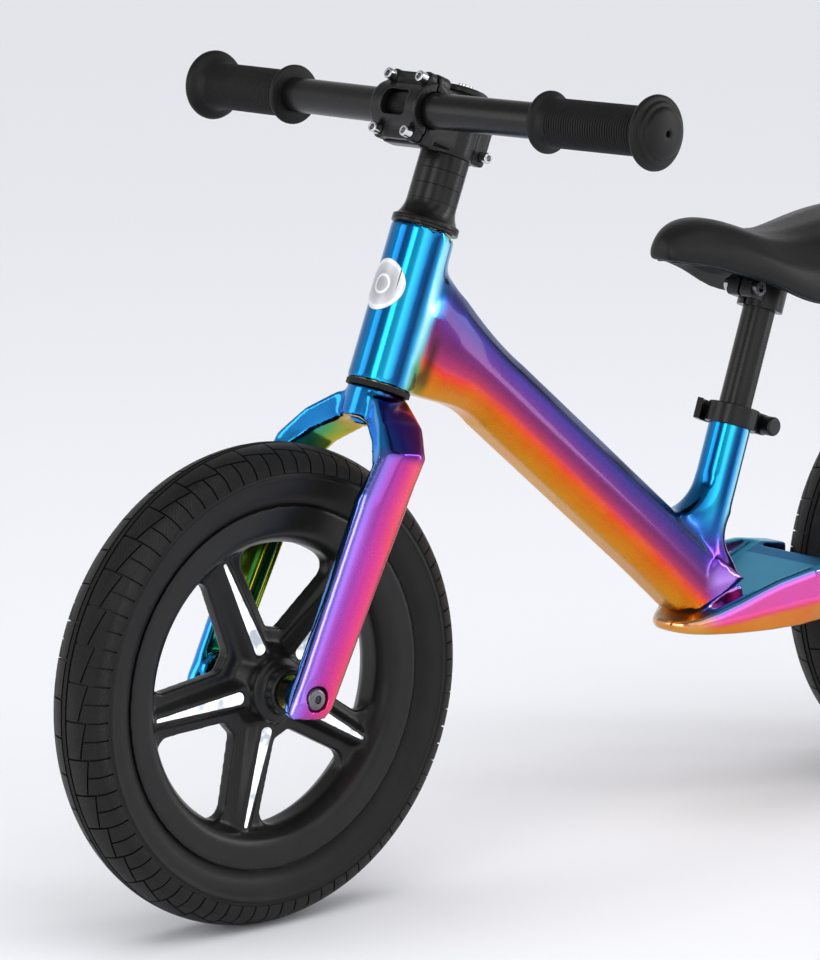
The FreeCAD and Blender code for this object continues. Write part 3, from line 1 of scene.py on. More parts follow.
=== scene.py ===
"""A child's balance bike: cast alloy frame, fork and wheels with a colour-shift coat,
treaded tyres, ribbed grips and a padded saddle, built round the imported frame.

Metres, +X forwards, +Y to the rider's left, +Z up, with the ground at Z 0.
"""

import json
import math

import bpy
import bmesh
import numpy as np
from mathutils import Matrix, Vector

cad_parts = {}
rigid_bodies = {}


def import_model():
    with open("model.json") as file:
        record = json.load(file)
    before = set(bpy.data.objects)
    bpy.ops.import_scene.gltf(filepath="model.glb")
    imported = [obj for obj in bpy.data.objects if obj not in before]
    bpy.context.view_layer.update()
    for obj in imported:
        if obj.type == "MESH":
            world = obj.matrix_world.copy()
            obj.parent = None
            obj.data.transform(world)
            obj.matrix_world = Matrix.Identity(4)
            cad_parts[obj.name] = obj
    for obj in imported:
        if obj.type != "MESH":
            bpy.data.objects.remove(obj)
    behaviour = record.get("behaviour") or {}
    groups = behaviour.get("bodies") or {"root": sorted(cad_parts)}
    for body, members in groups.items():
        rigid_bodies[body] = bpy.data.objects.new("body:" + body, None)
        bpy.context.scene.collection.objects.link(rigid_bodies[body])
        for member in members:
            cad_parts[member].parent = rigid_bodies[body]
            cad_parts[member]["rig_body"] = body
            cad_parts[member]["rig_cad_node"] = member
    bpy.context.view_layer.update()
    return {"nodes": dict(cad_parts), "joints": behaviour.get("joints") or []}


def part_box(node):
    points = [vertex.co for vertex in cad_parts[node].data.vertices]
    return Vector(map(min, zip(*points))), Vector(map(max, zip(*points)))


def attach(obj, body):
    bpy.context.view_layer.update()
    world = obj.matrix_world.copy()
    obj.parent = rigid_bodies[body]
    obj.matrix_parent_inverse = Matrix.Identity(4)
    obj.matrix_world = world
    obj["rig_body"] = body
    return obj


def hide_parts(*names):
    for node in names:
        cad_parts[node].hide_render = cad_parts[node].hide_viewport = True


bl_info = {
    "name": "Balance Bike",
    "version": (1, 0, 0),
    "blender": (4, 5, 0),
    "location": "View3D > Sidebar > Bike",
    "description": "Builds the finished pieces of a child's balance bike",
    "category": "Add Mesh",
}

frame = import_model()
NODES = frame["nodes"]
JOINTS = {joint["name"]: joint for joint in frame["joints"]}

MM = 0.001
STEER_BASE = Vector(JOINTS["steering_turn"]["pos_m"])
STEER_UP = Vector(JOINTS["steering_turn"]["axis"]).normalized()
STEER_FORWARD = Vector((STEER_UP.z, 0, -STEER_UP.x))
FRONT_HUB = Vector(JOINTS["front_wheel_spin"]["pos_m"])
REAR_HUB = Vector(JOINTS["rear_wheel_spin"]["pos_m"])
SEAT_UP = Vector(JOINTS["seat_height"]["axis"]).normalized()
SEAT_TOP = Vector((-0.096, 0, 0.278))
LEFT = Vector((0, 1, 0))
MERGE_DISTANCE = 1e-6
FLAT_ANGLE = math.radians(0.5)
CRISP_DEGREES = 35


# ---- Working with objects ------------------------------------------------------------
def only(*objects):
    """Selects these objects and nothing else, the first of them active."""
    if bpy.context.object and bpy.context.object.mode != "OBJECT":
        bpy.ops.object.mode_set(mode="OBJECT")
    bpy.ops.object.select_all(action="DESELECT")
    for piece in objects:
        piece.select_set(True)
    if objects:
        bpy.context.view_layer.objects.active = objects[0]


def edit(piece, mode="VERT"):
    """Opens a piece in edit mode."""
    only(piece)
    bpy.ops.object.mode_set(mode="EDIT")
    bpy.ops.mesh.select_mode(type=mode)


def done():
    """Leaves edit mode."""
    bpy.ops.object.mode_set(mode="OBJECT")


def pick_faces(piece, test):
    """Selects the faces whose middle and normal pass the test, in edit mode."""
    mesh = bmesh.from_edit_mesh(piece.data)
    for element in (mesh.verts, mesh.edges, mesh.faces):
        for item in element:
            item.select = False
    for face in mesh.faces:
        if test(face.calc_center_median(), face.normal):
            face.select_set(True)
    mesh.select_flush(True)
    bmesh.update_edit_mesh(piece.data)


def close_up(piece, distance=MERGE_DISTANCE):
    """Merges doubled vertices and turns every face outwards."""
    edit(piece)
    bpy.ops.mesh.select_all(action="SELECT")
    bpy.ops.mesh.remove_doubles(threshold=distance)
    bpy.ops.mesh.normals_make_consistent(inside=False)
    done()


def modify(piece, kind, **settings):
    """Adds one modifier and applies it."""
    only(piece)
    modifier = piece.modifiers.new(kind.title(), kind)
    for key, value in settings.items():
        setattr(modifier, key, value)
    bpy.ops.object.modifier_apply(modifier=modifier.name)


def smooth(piece, degrees=None):
    """Shades a piece smooth, or smooth only across edges flatter than an angle."""
    only(piece)
    if degrees is None:
        bpy.ops.object.shade_smooth()
    else:
        bpy.ops.object.shade_smooth_by_angle(angle=math.radians(degrees))


def settle(piece, matrix=None):
    """Puts a piece's place into its mesh, so that its object sits at the origin."""
    only(piece)
    if matrix is not None:
        piece.matrix_world = matrix
    bpy.ops.object.transform_apply(location=True, rotation=True, scale=True)


def working_copy(node, name):
    """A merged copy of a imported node, free of its body."""
    piece = NODES[node].copy()
    piece.data = NODES[node].data.copy()
    piece.name = piece.data.name = name
    piece.parent = None
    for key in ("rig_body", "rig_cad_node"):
        if key in piece:
            del piece[key]
    bpy.context.scene.collection.objects.link(piece)
    only(piece)
    bpy.ops.mesh.customdata_custom_splitnormals_clear()
    close_up(piece)
    return piece


def slot_of(node):
    """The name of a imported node's material slot."""
    return node.data.materials[0].name.split(".")[0]


def place(piece, body, slot, node):
    """Gives a finished piece the finish of its slot and its body, and hides the node it stands
    for.
    """
    piece.data.materials.clear()
    piece.data.materials.append(FINISHES[slot])
    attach(piece, body)
    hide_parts(node)


def crisp_copy(node, name, width, segments=2):
    """A machined or moulded piece with small rounded edges."""
    piece = working_copy(node, name)
    edit(piece, "FACE")
    bpy.ops.mesh.select_all(action="SELECT")
    bpy.ops.mesh.dissolve_limited(angle_limit=FLAT_ANGLE)
    done()
    smooth(piece, CRISP_DEGREES)
    modify(
        piece, "BEVEL", width=width, segments=segments, limit_method="ANGLE",
        angle_limit=math.radians(CRISP_DEGREES), use_clamp_overlap=True, harden_normals=True,
    )
    return piece


def places(piece):
    """Every vertex of a piece as an array, in metres."""
    values = np.zeros(len(piece.data.vertices) * 3)
    piece.data.vertices.foreach_get("co", values)
    return values.reshape(-1, 3)


def normals(piece):
    """Every vertex normal of a piece as an array."""
    values = np.zeros(len(piece.data.vertices) * 3)
    piece.data.vertices.foreach_get("normal", values)
    return values.reshape(-1, 3)


def move_to(piece, values):
    """Writes every vertex of a piece."""
    piece.data.vertices.foreach_set("co", np.asarray(values, float).ravel())
    piece.data.update()


def frame_matrix(base, along):
    """The matrix of a local frame whose Z runs along an axis from a base point."""
    turn = along.to_track_quat("Z", "Y")
    return Matrix.Translation(base) @ turn.to_matrix().to_4x4()


def lathe(name, outline, matrix, steps=120):
    """Turns an outline of (radius, height) in millimetres about local Z."""
    only()
    bpy.ops.mesh.primitive_plane_add(size=0.001)
    piece = bpy.context.object
    piece.name = piece.data.name = name
    edit(piece)
    bpy.ops.mesh.select_all(action="SELECT")
    bpy.ops.mesh.merge(type="CENTER")
    bpy.ops.transform.translate(value=(outline[0][0] * MM, 0, outline[0][1] * MM))
    for before, after in zip(outline, outline[1:]):
        move = ((after[0] - before[0]) * MM, 0, (after[1] - before[1]) * MM)
        bpy.ops.mesh.extrude_region_move(TRANSFORM_OT_translate={"value": move})
    bpy.ops.mesh.select_all(action="SELECT")
    bpy.ops.mesh.spin(steps=steps, angle=math.tau, center=(0, 0, 0), axis=(0, 0, 1))
    done()
    close_up(piece, 2 * MERGE_DISTANCE)
    settle(piece, matrix)
    return piece


# ---- Finishes ------------------------------------------------------------------------
def linear(code):
    """A colour written as six hexadecimal digits, as linear values."""
    parts = [int(code[i : i + 2], 16) / 255 for i in (0, 2, 4)]
    return tuple(p / 12.92 if p <= 0.04045 else ((p + 0.055) / 1.055) ** 2.4 for p in parts)


class Finish:
    """One material under construction."""

    def __init__(self, name, colour, **sockets):
        self.material = bpy.data.materials.new(name)
        self.material.use_nodes = True
        self.nodes = self.material.node_tree.nodes
        self.links = self.material.node_tree.links
        self.shader = self.nodes["Principled BSDF"]
        self.height = None
        self.shader.inputs["Base Color"].default_value = (*colour, 1)
        self.material.diffuse_color = (*colour, 1)
        for key, value in sockets.items():
            self.shader.inputs[key.replace("_", " ")].default_value = value

    def add(self, kind, **settings):
        """A new shader node."""
        node = self.nodes.new("ShaderNode" + kind)
        for key, value in settings.items():
            setattr(node, key, value)
        return node

    def link(self, start, end):
        """Joins an output to an input."""
        self.links.new(start, end)

    def coordinates(self, source="Object", scale=(1, 1, 1)):
        """Texture coordinates through a mapping."""
        if source == "Object":
            output = self.add("TexCoord").outputs["Object"]
        else:
            output = self.add("UVMap", uv_map=source).outputs["UV"]
        mapping = self.add("Mapping")
        mapping.inputs["Scale"].default_value = scale
        self.link(output, mapping.inputs["Vector"])
        return mapping.outputs["Vector"]

    def noise(self, scale, detail=4.0, roughness=0.5, vector=None):
        """A noise value."""
        node = self.add("TexNoise")
        node.inputs["Scale"].default_value = scale
        node.inputs["Detail"].default_value = detail
        node.inputs["Roughness"].default_value = roughness
        self.link(vector or self.coordinates(), node.inputs["Vector"])
        return node.outputs["Fac"]

    def spread(self, value, low, high, from_low=0.3, from_high=0.7):
        """A value stretched between two others."""
        node = self.add("MapRange")
        limits = {"From Min": from_low, "From Max": from_high, "To Min": low, "To Max": high}
        for key, number in limits.items():
            node.inputs[key].default_value = number
        self.link(value, node.inputs["Value"])
        return node.outputs["Result"]

    def mottle(self, value, colours):
        """Base colour from a ramp on a value, with its stops as (place, colour code)."""
        ramp = self.add("ValToRGB")
        stops = ramp.color_ramp.elements
        while len(stops) < len(colours):
            stops.new(0.5)
        for stop, (at, code) in zip(stops, colours):
            stop.position = at
            stop.color = (*linear(code), 1)
        self.link(value, ramp.inputs["Fac"])
        self.link(ramp.outputs["Color"], self.shader.inputs["Base Color"])

    def gloss(self, value, low, high):
        """Roughness that varies with a value."""
        self.link(self.spread(value, low, high), self.shader.inputs["Roughness"])

    def bump(self, value, strength, distance):
        """Adds one more layer of fine relief."""
        node = self.add("Bump")
        node.inputs["Strength"].default_value = strength
        node.inputs["Distance"].default_value = distance
        self.link(value, node.inputs["Height"])
        if self.height is not None:
            self.link(self.height, node.inputs["Normal"])
        self.height = node.outputs["Normal"]
        self.link(self.height, self.shader.inputs["Normal"])


def grained(name, dark, light, roughness, grain, depth, **sockets):
    """A plain finish with a mottled colour, uneven gloss and fine grain."""
    finish = Finish(name, linear(light), **sockets)
    cloud = finish.noise(90.0, 3.0)
    fine = finish.noise(grain, 2.0, 0.6)
    finish.mottle(cloud, ((0.3, dark), (0.7, light)))
    finish.gloss(fine, roughness[0], roughness[1])
    finish.bump(fine, 0.35, depth)
    return finish.material


def brushed(name, dark, light, roughness, axis):
    """A metal with fine turning or drawing marks along one axis."""
    finish = Finish(name, linear(light), Metallic=1.0)
    coarse, fine = 60.0, 2600.0
    scale = [fine if letter == axis else coarse for letter in "XYZ"]
    marks = finish.noise(1.0, 3.0, 0.6, finish.coordinates(scale=scale))
    finish.mottle(marks, ((0.3, dark), (0.7, light)))
    finish.gloss(marks, roughness[0], roughness[1])
    finish.bump(marks, 0.12, 0.00002)
    return finish.material


def rubber(name, dark, light, roughness, grain, depth):
    """Matte moulded rubber with a faint bloom."""
    finish = Finish(name, linear(light), Specular_IOR_Level=0.22)
    bloom = finish.noise(35.0, 5.0, 0.6)
    fine = finish.noise(grain, 2.0, 0.7)
    finish.mottle(bloom, ((0.35, dark), (0.7, light)))
    finish.gloss(fine, roughness[0], roughness[1])
    finish.bump(fine, 0.3, depth)
    return finish


def tread_rubber():
    """Tyre rubber with file-cut ribbing on the tread blocks."""
    finish = rubber("tread_rubber", "0e0d0d", "151413", (0.36, 0.5), 1500.0, 0.00005)
    lines = finish.add(
        "TexWave", wave_type="BANDS", bands_direction="DIAGONAL", wave_profile="TRI"
    )
    lines.inputs["Scale"].default_value = 1.0
    finish.link(finish.coordinates("tread", scale=(430.0, 560.0, 0)), lines.inputs["Vector"])
    mask = finish.add("Attribute", attribute_name="blocks")
    weave = finish.add("Math", operation="MULTIPLY")
    finish.link(lines.outputs["Fac"], weave.inputs[0])
    finish.link(mask.outputs["Fac"], weave.inputs[1])
    finish.bump(weave.outputs["Value"], 0.8, 0.0004)
    return finish.material


def shift_coat():
    """Mirror-bright metal whose colour runs with the thickness of its coat, with painted
    reflections, highlights and shade stored in the same vertex colour.
    """
    finish = Finish(
        "colour_shift_coat", linear("2a60c0"), Metallic=1.0, Coat_Weight=0.2, Coat_Roughness=0.04,
        Coat_IOR=1.45,
    )
    film_and_painted_light = finish.add("Attribute", attribute_name="film_and_painted_light")
    cloud = finish.noise(28.0, 3.0)
    lift = finish.add("HueSaturation")
    finish.link(finish.spread(cloud, 0.492, 0.508), lift.inputs["Hue"])
    finish.link(film_and_painted_light.outputs["Color"], lift.inputs["Color"])
    finish.link(lift.outputs["Color"], finish.shader.inputs["Base Color"])
    fine = finish.noise(700.0, 2.0, 0.6)
    satin = finish.add("Attribute", attribute_name="satin")
    dull = finish.spread(satin.outputs["Fac"], 0.0, 0.26, 0.0, 1.0)
    total = finish.add("Math", operation="ADD")
    finish.link(finish.spread(fine, 0.12, 0.17), total.inputs[0])
    finish.link(dull, total.inputs[1])
    finish.link(total.outputs["Value"], finish.shader.inputs["Roughness"])
    ripple = finish.noise(60.0, 2.0)
    finish.bump(ripple, 0.04, 0.0004)
    return finish.material


def badge_silver():
    """Satin silver with a ring turned round the badge's middle."""
    finish = Finish("badge_silver", linear("d4d5d8"), Metallic=0.5)
    low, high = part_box("head_badge")
    middle = (low + high) / 2
    away = finish.add("VectorMath", operation="DISTANCE")
    finish.link(finish.coordinates(), away.inputs[0])
    away.inputs[1].default_value = middle
    share = finish.spread(away.outputs["Value"], 0.0, 1.0, 0.0, (high.z - low.z) / 2)
    finish.mottle(share, (
        (0.0, "9c9ea2"), (0.30, "a8a9ad"), (0.34, "e2e2e4"),
        (0.40, "dededf"), (0.44, "a6a8ac"), (0.86, "c6c7ca"),
        (0.9, "e6e6e8"), (1.0, "dadadc"),
    ))
    fine = finish.noise(700.0, 2.0, 0.5)
    finish.gloss(fine, 0.36, 0.44)
    return finish.material


def light_lens():
    """Clear-topped light strips that glow white, a little unevenly."""
    glow = (0.92, 0.96, 1.0, 1)
    finish = Finish(
        "light_strip_glow", linear("eef4ff"), Roughness=0.1, Coat_Weight=0.8, Emission_Color=glow
    )
    cells = finish.noise(110.0, 2.0, 0.5)
    finish.mottle(cells, ((0.35, "b4bcc8"), (0.6, "ffffff")))
    strength = finish.spread(cells, 0.1, 0.75, 0.35, 0.65)
    finish.link(strength, finish.shader.inputs["Emission Strength"])
    return finish.material


def saddle_skin():
    """Closely pebbled matte black cover."""
    finish = Finish("saddle_skin", linear("101010"), Specular_IOR_Level=0.28)
    cells = finish.add("TexVoronoi", feature="SMOOTH_F1")
    cells.inputs["Scale"].default_value = 1350.0
    cells.inputs["Smoothness"].default_value = 0.6
    finish.link(finish.coordinates(), cells.inputs["Vector"])
    cloud = finish.noise(60.0, 4.0)
    finish.mottle(cloud, ((0.3, "0c0c0c"), (0.7, "121212")))
    finish.gloss(cells.outputs["Distance"], 0.34, 0.48)
    finish.bump(cells.outputs["Distance"], 0.5, 0.00018)
    return finish.material


FINISHES = {}


def make_finishes():
    """Every finish, by the record's slot name."""
    FINISHES.update(
        colour_shift_metal=shift_coat(),
        black_wheel_casting=grained(
            "wheel_black", "0c0c0c", "121212", (0.28, 0.36), 900.0, 0.00003,
            Specular_IOR_Level=0.28,
        ),
        tyre_rubber=tread_rubber(),
        core_foam=grained("core_foam", "5c5c5c", "767676", (0.8, 0.95), 500.0, 0.0004),
        light_lens=light_lens(),
        light_board=grained("light_board", "0d3018", "154525", (0.4, 0.55), 300.0, 0.0001),
        magnet=brushed("magnet_plate", "707277", "8d8f94", (0.2, 0.35), "Y"),
        bearing_steel=brushed("bearing_steel", "9a8a5c", "cfc39a", (0.18, 0.3), "Y"),
        black_alloy=grained(
            "satin_black_alloy", "0b0b0b", "101010", (0.26, 0.34), 1100.0, 0.00002,
            Specular_IOR_Level=0.3,
        ),
        black_steel=grained(
            "black_steel", "5c5c60", "78787c", (0.2, 0.3), 900.0, 0.00002, Metallic=0.9
        ),
        bright_steel=grained(
            "bright_steel", "b4b4b6", "d6d6d8", (0.14, 0.22), 500.0, 0.00001, Metallic=1.0
        ),
        axle_black=grained(
            "axle_black", "0d0d0e", "161617", (0.3, 0.4), 900.0, 0.00002, Metallic=0.6
        ),
        bare_alloy=brushed("bare_alloy", "a9a9ac", "cfcfd2", (0.25, 0.4), "Z"),
        badge_metal=badge_silver(),
        seal_rubber=rubber(
            "seal_rubber", "0e0e0f", "161617", (0.5, 0.65), 1200.0, 0.00003
        ).material,
        grip_rubber=rubber(
            "grip_rubber", "0c0c0c", "121212", (0.4, 0.52), 1600.0, 0.00004
        ).material,
        saddle_skin=saddle_skin(),
        saddle_shell=grained(
            "saddle_shell", "0c0c0c", "121212", (0.3, 0.4), 700.0, 0.00005,
            Specular_IOR_Level=0.28,
        ),
    )


# ---- The colour-shift coat's colours, with painted reflections, highlights and shade ---
# Rows of stops, each (share, colour) in the order in which one colour runs into the next.
# The down tube's coat from top to underside, its upper stops darkened with painted shade of a dark
# reflection.
TUBE_SHADED_BANDS = (
    (0.00, "1a509a"), (0.05, "1c4290"), (0.16, "22286e"), (0.30, "2e1f60"), (0.44, "4c205c"),
    (0.56, "722459"), (0.67, "a03052"), (0.745, "d84a2c"), (0.82, "dc680e"), (0.90, "d87e06"),
    (1.00, "d08c0c"),
)
# The fork legs' coat, paled all over by a painted highlight.
LEG_HIGHLIT_BANDS = (
    (0.00, "2a6ac0"), (0.05, "5570e0"), (0.14, "8090f0"), (0.26, "8c8cf0"), (0.36, "9674e2"),
    (0.46, "a45cca"), (0.56, "ae42ac"), (0.68, "c03894"), (0.80, "d83f84"), (0.90, "e2486c"),
    (1.00, "de4c50"),
)
# Blue coat round the head and seat tubes, with painted reflection streaks of navy and pale cyan.
ROUND_BLUE_PAINTED_STREAKS = (
    (0.00, "0088c8"), (0.09, "0a5c98"), (0.16, "0a7cb8"), (0.24, "18b0e0"), (0.30, "2cb8e4"),
    (0.38, "0a5c98"), (0.44, "0a3f78"), (0.51, "2a9cd4"), (0.57, "a4e0f2"), (0.62, "7cd0ec"),
    (0.70, "0a6cac"), (0.77, "0a4478"), (0.84, "1c90cc"), (1.00, "0a6cb0"),
)
# By height: painted gold, green and brown reflections round painted near-black shade, in the
# hollow behind the head tube.
RECESS_PAINTED_SHADE = (
    (0.0, "a89820"), (0.2, "4a4420"), (0.5, "10200f"), (0.8, "2a1c1a"), (1.0, "6a3440"),
)
# The foot's violet coat by height, with a paler painted highlight band low down.
FOOT_HIGHLIGHT_BANDS = ((0.0, "9a4ac8"), (0.3, "b884e0"), (0.6, "6a34b4"), (1.0, "4a2ea4"))
LEG_INSIDE_BANDS = ((0.0, "0a84c0"), (0.3, "10985c"), (0.65, "98b428"), (1.0, "c8a820"))
ARM_BANDS = ((0.0, "2a4ab0"), (0.25, "34269a"), (0.5, "5a2486"), (0.75, "8a2a72"), (1.0, "c84a28"))
ARM_UNDER_BANDS = ((0.0, "1a9c9c"), (0.35, "48a850"), (0.7, "b0b028"), (1.0, "c8a028"))
# The yoke's stops go by how far its surface faces up, from -1 to 1.
YOKE_BANDS = (
    (-1.0, "d98a08"), (-0.6, "e08a10"), (-0.25, "e2506a"), (0.1, "f05aa8"),
    (0.4, "b070d8"), (0.75, "3cbcf0"), (1.0, "6ad6ff"),
)
# Upper and lower points of sections along the down tube, as (x, z) in millimetres.
TUBE_LINES = (
    ((187.3, 415.4), (219.8, 330.7)),
    ((164.5, 386.0), (189.0, 315.5)),
    ((140.4, 359.0), (166.0, 308.5)),
    ((107.5, 330.2), (139.8, 292.0)),
    ((-33.0, 219.0), (-0.7, 180.8)),
    ((-96.0, 168.5), (-64.2, 127.5)),
)
SECTIONS_BETWEEN = 30

# Where the fork leg's front and rear edges run: drop below the crown, and both edges ahead of
# the steering axis.
LEG_DROPS = (0.045, 0.076, 0.205, 0.212)
LEG_FRONTS = (0.027, 0.0335, 0.041, 0.0405)
LEG_REARS = (-0.0065, -0.0028, 0.010, 0.013)
LEG_INNER_FACE = 0.038
LEG_THICKNESS = 0.017
# How much of the leg's thickness its bands run across, as well as its width.
LEG_SHEAR = 0.9


def bands(value, stops):
    """Colours from a row of stops, as an array."""
    at = [stop[0] for stop in stops]
    colours = np.array([linear(stop[1]) for stop in stops])
    return np.stack([np.interp(value, at, colours[:, i]) for i in range(3)], axis=1)


def step(value, low, high):
    """A smooth rise from 0 to 1 between two values."""
    share = np.clip((value - low) / (high - low), 0, 1)
    return share * share * (3 - 2 * share)


def mixed(first, second, share):
    """Two colour arrays mixed by a share for each vertex."""
    return first * (1 - share[:, None]) + second * share[:, None]


def plain(code, like):
    """One colour for every vertex."""
    return np.tile(linear(code), (len(like), 1))


def coat(piece, colours, satin):
    """Stores the coat's colour, with its painted reflections, highlights and shade, and how satin
    it is on every vertex.
    """
    dull = piece.data.attributes.new("satin", "FLOAT", "POINT")
    dull.data.foreach_set("value", np.clip(satin, 0, 1).astype(np.float32))
    layer = piece.data.color_attributes.new("film_and_painted_light", "FLOAT_COLOR", "POINT")
    values = np.ones((len(colours), 4))
    values[:, :3] = np.clip(colours, 0, 1)
    layer.data.foreach_set("color", values.ravel())


def across_tube(points):
    """Each point's share of the way from the down tube's top to its underside, and along it."""
    tops, lows = [], []
    for near, far in zip(TUBE_LINES, TUBE_LINES[1:]):
        for share in np.linspace(0, 1, SECTIONS_BETWEEN, endpoint=False):
            tops.append(np.array(near[0]) * (1 - share) + np.array(far[0]) * share)
            lows.append(np.array(near[1]) * (1 - share) + np.array(far[1]) * share)
    tops, lows = np.array(tops) * MM, np.array(lows) * MM
    flat = points[:, (0, 2)]
    nearest = np.full(len(points), np.inf)
    across = np.zeros(len(points))
    along = np.zeros(len(points))
    for i, (top, low) in enumerate(zip(tops, lows)):
        run = low - top
        length = np.linalg.norm(run)
        run = run / length
        off = np.abs((flat - top) @ np.array((-run[1], run[0])))
        nearer = off < nearest
        nearest[nearer] = off[nearer]
        across[nearer] = ((flat[nearer] - top) @ run) / length
        along[nearer] = i / len(tops)
    return np.clip(across, 0, 1), along


def round_axis(points, base, up):
    """Height along a leaning axis, distance ahead of it, and turn from the front in degrees."""
    rel = points - np.array(base)
    ahead = rel @ np.array((up.z, 0, -up.x))
    turn = np.degrees(np.arctan2(np.abs(rel[:, 1]), ahead))
    return rel @ np.array(up), ahead, turn


def tube_colours(points):
    """The down tube: from blue on top, through violet darkened with painted shade on the upper
    side, through red, to gold below.
    """
    across, along = across_tube(points)
    lift = -0.05 * step(across, 0.3, 0.6) * (1 - step(along, 0.05, 0.55))
    colours = bands(np.clip(across + lift, 0, 1), TUBE_SHADED_BANDS)
    golden = 0.35 * step(across, 0.78, 0.95) * (1 - step(along, 0.2, 0.7))
    return mixed(colours, plain("d69a1c", points), golden)


def frame_colours(points, faces):
    """The main frame's coat: blue head and seat tubes with painted reflection streaks, painted
    shade behind the head tube, a violet foot with a painted highlight, and a down tube from blue
    to gold with painted shade on its upper side.
    """
    x, z = points[:, 0], points[:, 2]
    tube = tube_colours(points)

    # The head tube is blue with painted reflection streaks of navy and pale cyan, with green and
    # yellow at its low rear.
    height, ahead, turn = round_axis(points, STEER_BASE, STEER_UP)
    radius = np.hypot(ahead, points[:, 1])
    low = 1 - step(height, 0.012, 0.042)
    head = bands(turn / 180, ROUND_BLUE_PAINTED_STREAKS)
    head = mixed(head, plain("1f9a5e", points), step(turn, 88, 118) * low)
    head = mixed(head, plain("a8b428", points), step(turn, 116, 140) * low)
    on_head = 1 - step(radius, 0.0206, np.where(height > 0.05, 0.031, 0.0245))
    colours = mixed(tube, head, on_head)

    # Painted shade with painted dark reflections fills the hollow between the head tube's low rear
    # and the down tube.
    recess_shade = bands(np.clip(height / 0.046, 0, 1), RECESS_PAINTED_SHADE)
    recess_shade_mask = step(turn, 118, 132) * (1 - step(radius, 0.026, 0.032))
    recess_shade_mask *= 1 - step(height, 0.030, 0.046)
    colours = mixed(colours, recess_shade, 0.85 * recess_shade_mask)

    # The seat tube is blue with painted reflection streaks, down to its root and round the back of
    # the foot.
    height, ahead, turn = round_axis(points, SEAT_TOP, SEAT_UP)
    radius = np.hypot(ahead, points[:, 1])
    on_seat = (1 - step(radius, 0.0155, 0.034)) * step(height, -0.088, -0.062)
    on_seat = np.maximum(on_seat, step(-x, 0.07, 0.09) * step(z, 0.17, 0.19))
    on_seat = np.maximum(on_seat, step(faces[:, 2], 0.3, 0.8) * step(-x, 0.02, 0.05))
    colours = mixed(colours, bands(turn / 180, ROUND_BLUE_PAINTED_STREAKS), on_seat)

    # The foot's sides are violet, with a paler painted highlight band across their lower part.
    foot = step(-x, 0.050, 0.066) * (1 - step(z, 0.188, 0.203))
    foot_violet_highlit = bands(np.clip((z - 0.155) / 0.045, 0, 1), FOOT_HIGHLIGHT_BANDS)
    colours = mixed(colours, foot_violet_highlit, foot * (1 - step(-x, 0.086, 0.096)))
    return colours, 0.55 * (1 - on_head) * (1 - on_seat) * (1 - foot)


def yoke_colours(points, faces):
    """The yoke's coat: blue on top, pink at the sides and gold below."""
    up = faces[:, 2]
    inside = (np.abs(points[:, 1]) < 0.0375) & (points[:, 0] < -0.15)
    colours = mixed(bands(up, YOKE_BANDS), plain("1f8ccc", points), np.where(inside, 0.8, 0.0))
    nose = step(points[:, 0], -0.062, -0.045)
    satin = step(up, 0.7, 0.95) + 0.3 * step(-up, -0.5, 0.2)
    return mixed(colours, plain("d8a23c", points), 0.8 * nose), satin


def fork_colours(points, faces):
    """The fork's coat: blue edges, legs from lavender to red paled by a painted highlight, and
    green-gold inside.
    """
    height, ahead, _ = round_axis(points, STEER_BASE, STEER_UP)
    half = np.abs(points[:, 1])
    drop = np.clip(-height, 0.0, 0.21)
    facing = faces @ np.array(STEER_FORWARD)
    outward = faces[:, 1] * np.sign(points[:, 1])
    blue = plain("2a98ea", points)

    # The legs go by their share of the way from the front edge to the rear one.
    front = np.interp(drop, LEG_DROPS, LEG_FRONTS)
    rear = np.interp(drop, LEG_DROPS, LEG_REARS)
    width = front - rear + LEG_SHEAR * LEG_THICKNESS
    share = np.clip((front - ahead + LEG_SHEAR * (half - LEG_INNER_FACE)) / width, 0, 1)
    # The leg bands carry a painted highlight that pales the coat.
    colours = bands(share, LEG_HIGHLIT_BANDS)
    colours = mixed(colours, bands(share, TUBE_SHADED_BANDS), 0.25 * (1 - step(drop, 0.05, 0.12)))
    near_edge = 1 - step(share, 0.11, 0.27)
    front_edge = np.where(points[:, 1] < 0, step(facing, 0.4, 0.7), near_edge)
    colours = mixed(colours, blue, front_edge)
    colours = mixed(colours, plain("dc4a2a", points), step(-facing, 0.6, 0.9))
    colours = mixed(colours, bands(share, LEG_INSIDE_BANDS), step(-outward, 0.25, 0.6))

    # The arms run from blue in front to red behind, and are green and gold below.
    arm_share = np.clip((0.020 - ahead) / 0.030, 0, 1)
    arm = bands(arm_share, ARM_BANDS)
    arm = mixed(arm, plain("d4500c", points), step(-facing, 0.35, 0.7))
    arm = mixed(arm, blue, step(facing, 0.5, 0.8))
    arm = mixed(arm, bands(arm_share, ARM_UNDER_BANDS), step(-faces[:, 2], 0.15, 0.5))
    above = 1 - step(drop, 0.038, 0.047)
    colours = mixed(colours, arm, above)

    # The crown's boss is blue with a gold underside.
    crown = 1 - step(half, 0.012, 0.022)
    boss = mixed(plain("1a82cc", points), plain("b8962c", points), step(-faces[:, 2], 0.4, 0.8))
    return mixed(colours, boss, crown), 0.45 * step(outward, 0.3, 0.8) * (1 - above)


